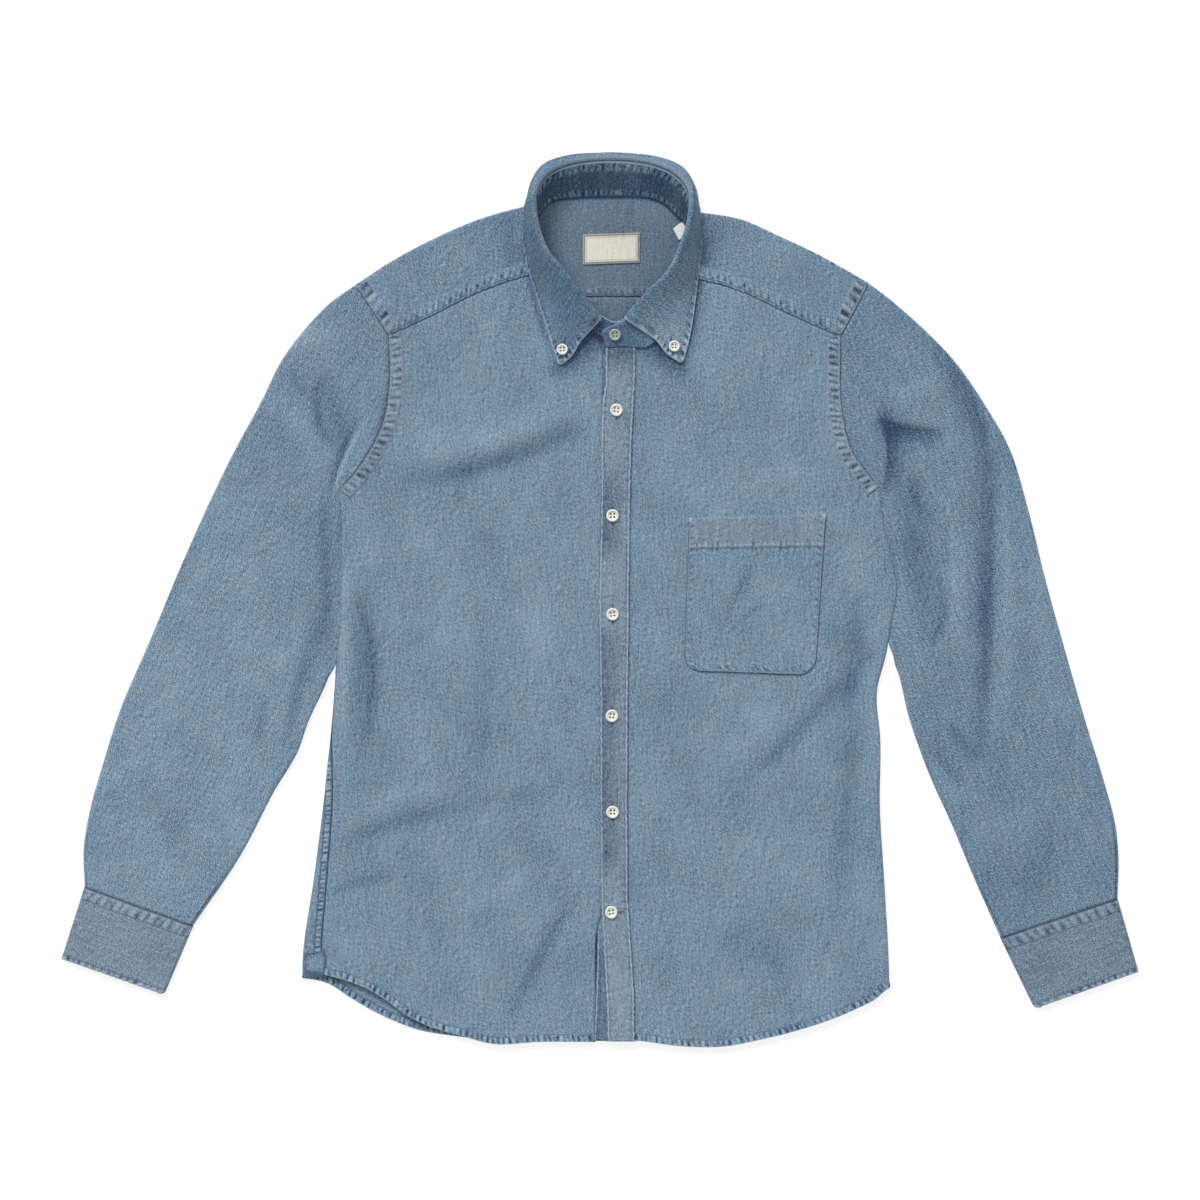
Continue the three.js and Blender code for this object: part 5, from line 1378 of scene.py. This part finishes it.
# Buttons: cream four-hole buttons with a raised rim and a dished middle. The ones on the placket and
# the collar points close worked buttonholes, whose bars of thread show past their rims.
PLACKET_BUTTONS = [[15.3, 176.7], [11.7, 78.5], [11.7, -13.2], [11.1, -107.7], [11.7, -197.2], [10.5, -290.3]]
BUTTON_RADIUS = 5.9
POINT_BUTTON_RADIUS = 5.2
BUTTON_STEPS = 40
HOLE_AT = 0.36
HOLE_RADIUS = 0.15
# Half of a button's section, as shares of its radius: distance out and height.
BUTTON_SECTION = np.array([
    [0.02, 0.10], [0.50, 0.10], [0.60, 0.13], [0.68, 0.27], [0.78, 0.34], [0.90, 0.32], [0.985, 0.22],
    [1.0, 0.12], [0.96, 0.03], [0.85, 0.0], [0.02, 0.0],
])


def shell_material(name, base, deep, rim_tone):
    """Pressed cream shell: faint clouds, dark holes, a ring of painted shade in the dish, and a satin polish.
    """
    material, tree, surface = new_material(name, {"Roughness": 0.32, "Coat Weight": 0.15})
    plan = node(tree, "ShaderNodeAttribute", attribute_name="cloth")
    sewn = node(tree, "ShaderNodeAttribute", attribute_name="sewn")
    cloud = node(tree, "ShaderNodeTexNoise", noise_dimensions="2D")
    set_inputs(cloud, {"Scale": 1000 / 3.2, "Detail": 2.1})
    dye = node(tree, "ShaderNodeMix", data_type="RGBA")
    set_inputs(dye, {6: shade_of(*base), 7: shade_of(*rim_tone)})
    wire(tree, [(plan, "Vector", cloud, "Vector"), (cloud, "Fac", dye, 0)])
    marks = node(tree, "ShaderNodeSeparateXYZ")
    sunk = node(tree, "ShaderNodeMix", data_type="RGBA")
    set_inputs(sunk, {7: shade_of(*deep)})
    wire(tree, [(sewn, "Vector", marks, 0), (marks, "Y", sunk, 0), (dye, 2, sunk, 6),
                (sunk, 2, surface, "Base Color")])
    return material


SHELL = shell_material("button_shell", (240, 240, 230), (36, 44, 58), (224, 224, 212))
# A copy of the cream shell in painted shade, darker and greener, for the button on the collar band.
SHADED_SHELL = shell_material("button_shell_painted_shade", (176, 188, 176), (62, 72, 76), (138, 154, 148))


def turned_button(centre, radius, tilt, turn):
    """A button turned from its section, with four sunk holes."""
    angle = np.linspace(0, 2 * np.pi, BUTTON_STEPS, endpoint=False)
    section = along(BUTTON_SECTION[1:], np.linspace(0, 1, 30))
    out = np.concatenate([np.linspace(0.02, 0.5, 23)[:-1], section[:, 0]])
    high = np.concatenate([np.full(22, 0.10), section[:, 1]])
    x = out[:, None] * np.cos(angle)
    y = out[:, None] * np.sin(angle)
    holes = np.array([[np.cos(a), np.sin(a)] for a in np.pi / 4 + np.pi / 2 * np.arange(4)]) * HOLE_AT
    to_hole = np.min([np.hypot(x - hx, y - hy) for hx, hy in holes], axis=0)
    face = (np.arange(len(out)) < 24)[:, None]
    sunk = (1 - ease(to_hole, HOLE_RADIUS * 0.75, HOLE_RADIUS * 1.3)) * face
    z = high[:, None] - 0.09 * sunk
    # A ring painted as shade at the foot of the rim, in the dish.
    dish = 0.10 * bell(np.hypot(x, y) - 0.58, 0.05) * (high > 0.02)[:, None]
    c, w = np.cos(turn), np.sin(turn)
    local = np.stack([x * c - y * w, x * w + y * c, z], axis=-1) * radius
    local[..., 2] += local[..., 0] * tilt[0] + local[..., 1] * tilt[1]
    points = (local + centre).reshape(-1, 3)
    rows, columns = x.shape
    number = np.arange(rows * columns).reshape(rows, columns)
    number = np.concatenate([number, number[:, :1]], axis=1)
    quads = cells(number).reshape(-1, 4)
    caps = []
    for row, order in ((0, 1), (rows - 1, -1)):
        ring = number[row, :-1][::order]
        caps += [[int(ring[0]), int(ring[k]), int(ring[k + 1])] for k in range(1, BUTTON_STEPS - 1)]
    marks = np.stack([np.zeros_like(x), np.maximum(sunk, dish), np.zeros_like(x)], axis=-1).reshape(-1, 3)
    return points, quads.tolist() + caps, marks


def button_piece(name, centre, radius, material, tilt=(0, 0), turn=0.0):
    """One button, in place of the plain one of that name."""
    points, faces, marks = turned_button(np.array(centre, float), radius, tilt, turn)
    piece = made_piece(name + "_turned", points, faces, points * (1, 1, 0), marks, material)
    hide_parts(name)


def buttonhole(x, y, z, length, upright):
    """Rows of close stitches down both sides of a slit, shown past the button's rim."""
    strands = np.linspace(-length / 2, length / 2, int(length / 0.55))
    parts = []
    for side in (-0.55, 0.55):
        for k in strands:
            ends = [[x + side - 0.5, y + k, z], [x + side + 0.5, y + k, z]]
            if not upright:
                ends = [[x + k, y + side - 0.5, z], [x + k, y + side + 0.5, z]]
            parts.append(stitches(np.array(ends), pitch=1.0, length=1.1, thick=0.5, marks=(-0.4, 0.6, 0)))
    return parts


def foot_of(name):
    """The middle of the underside of a packed button."""
    lowest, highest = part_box(name)
    return (lowest[0] + highest[0]) * 500, (lowest[1] + highest[1]) * 500, lowest[2] * 1000


holes = []
for k, (x, y) in enumerate(PLACKET_BUTTONS):
    foot_z = foot_of(f"button_front_{k + 1}")[2]
    button_piece(f"button_front_{k + 1}", (x, y, foot_z), BUTTON_RADIUS, SHELL, turn=0.15 * (k % 3 - 1))
    last = k == len(PLACKET_BUTTONS) - 1
    holes += buttonhole(x + (2.5 if last else 0), y, foot_z - 0.2, 19, not last)
points_at = [("button_point_right", (-32.4, 237.4), (-0.066, -0.017)),
             ("button_point_left", (66, 237.6), (0.075, -0.011))]
for name, hole_at, tilt in points_at:
    x, y, z = foot_of(name)
    button_piece(name, (x, y, z + 0.4), POINT_BUTTON_RADIUS, SHELL, tilt=tilt)
    holes += buttonhole(*hole_at, z + 0.7, 14, True)
x, y, z = foot_of("button_band_top")
button_piece("button_band_top", (x, y, z + 0.3), BUTTON_RADIUS - 0.4, SHADED_SHELL, tilt=(0, 0.04))
buttonholes = cloth_piece("buttonhole_stitches", holes, BAND_CLOTH)
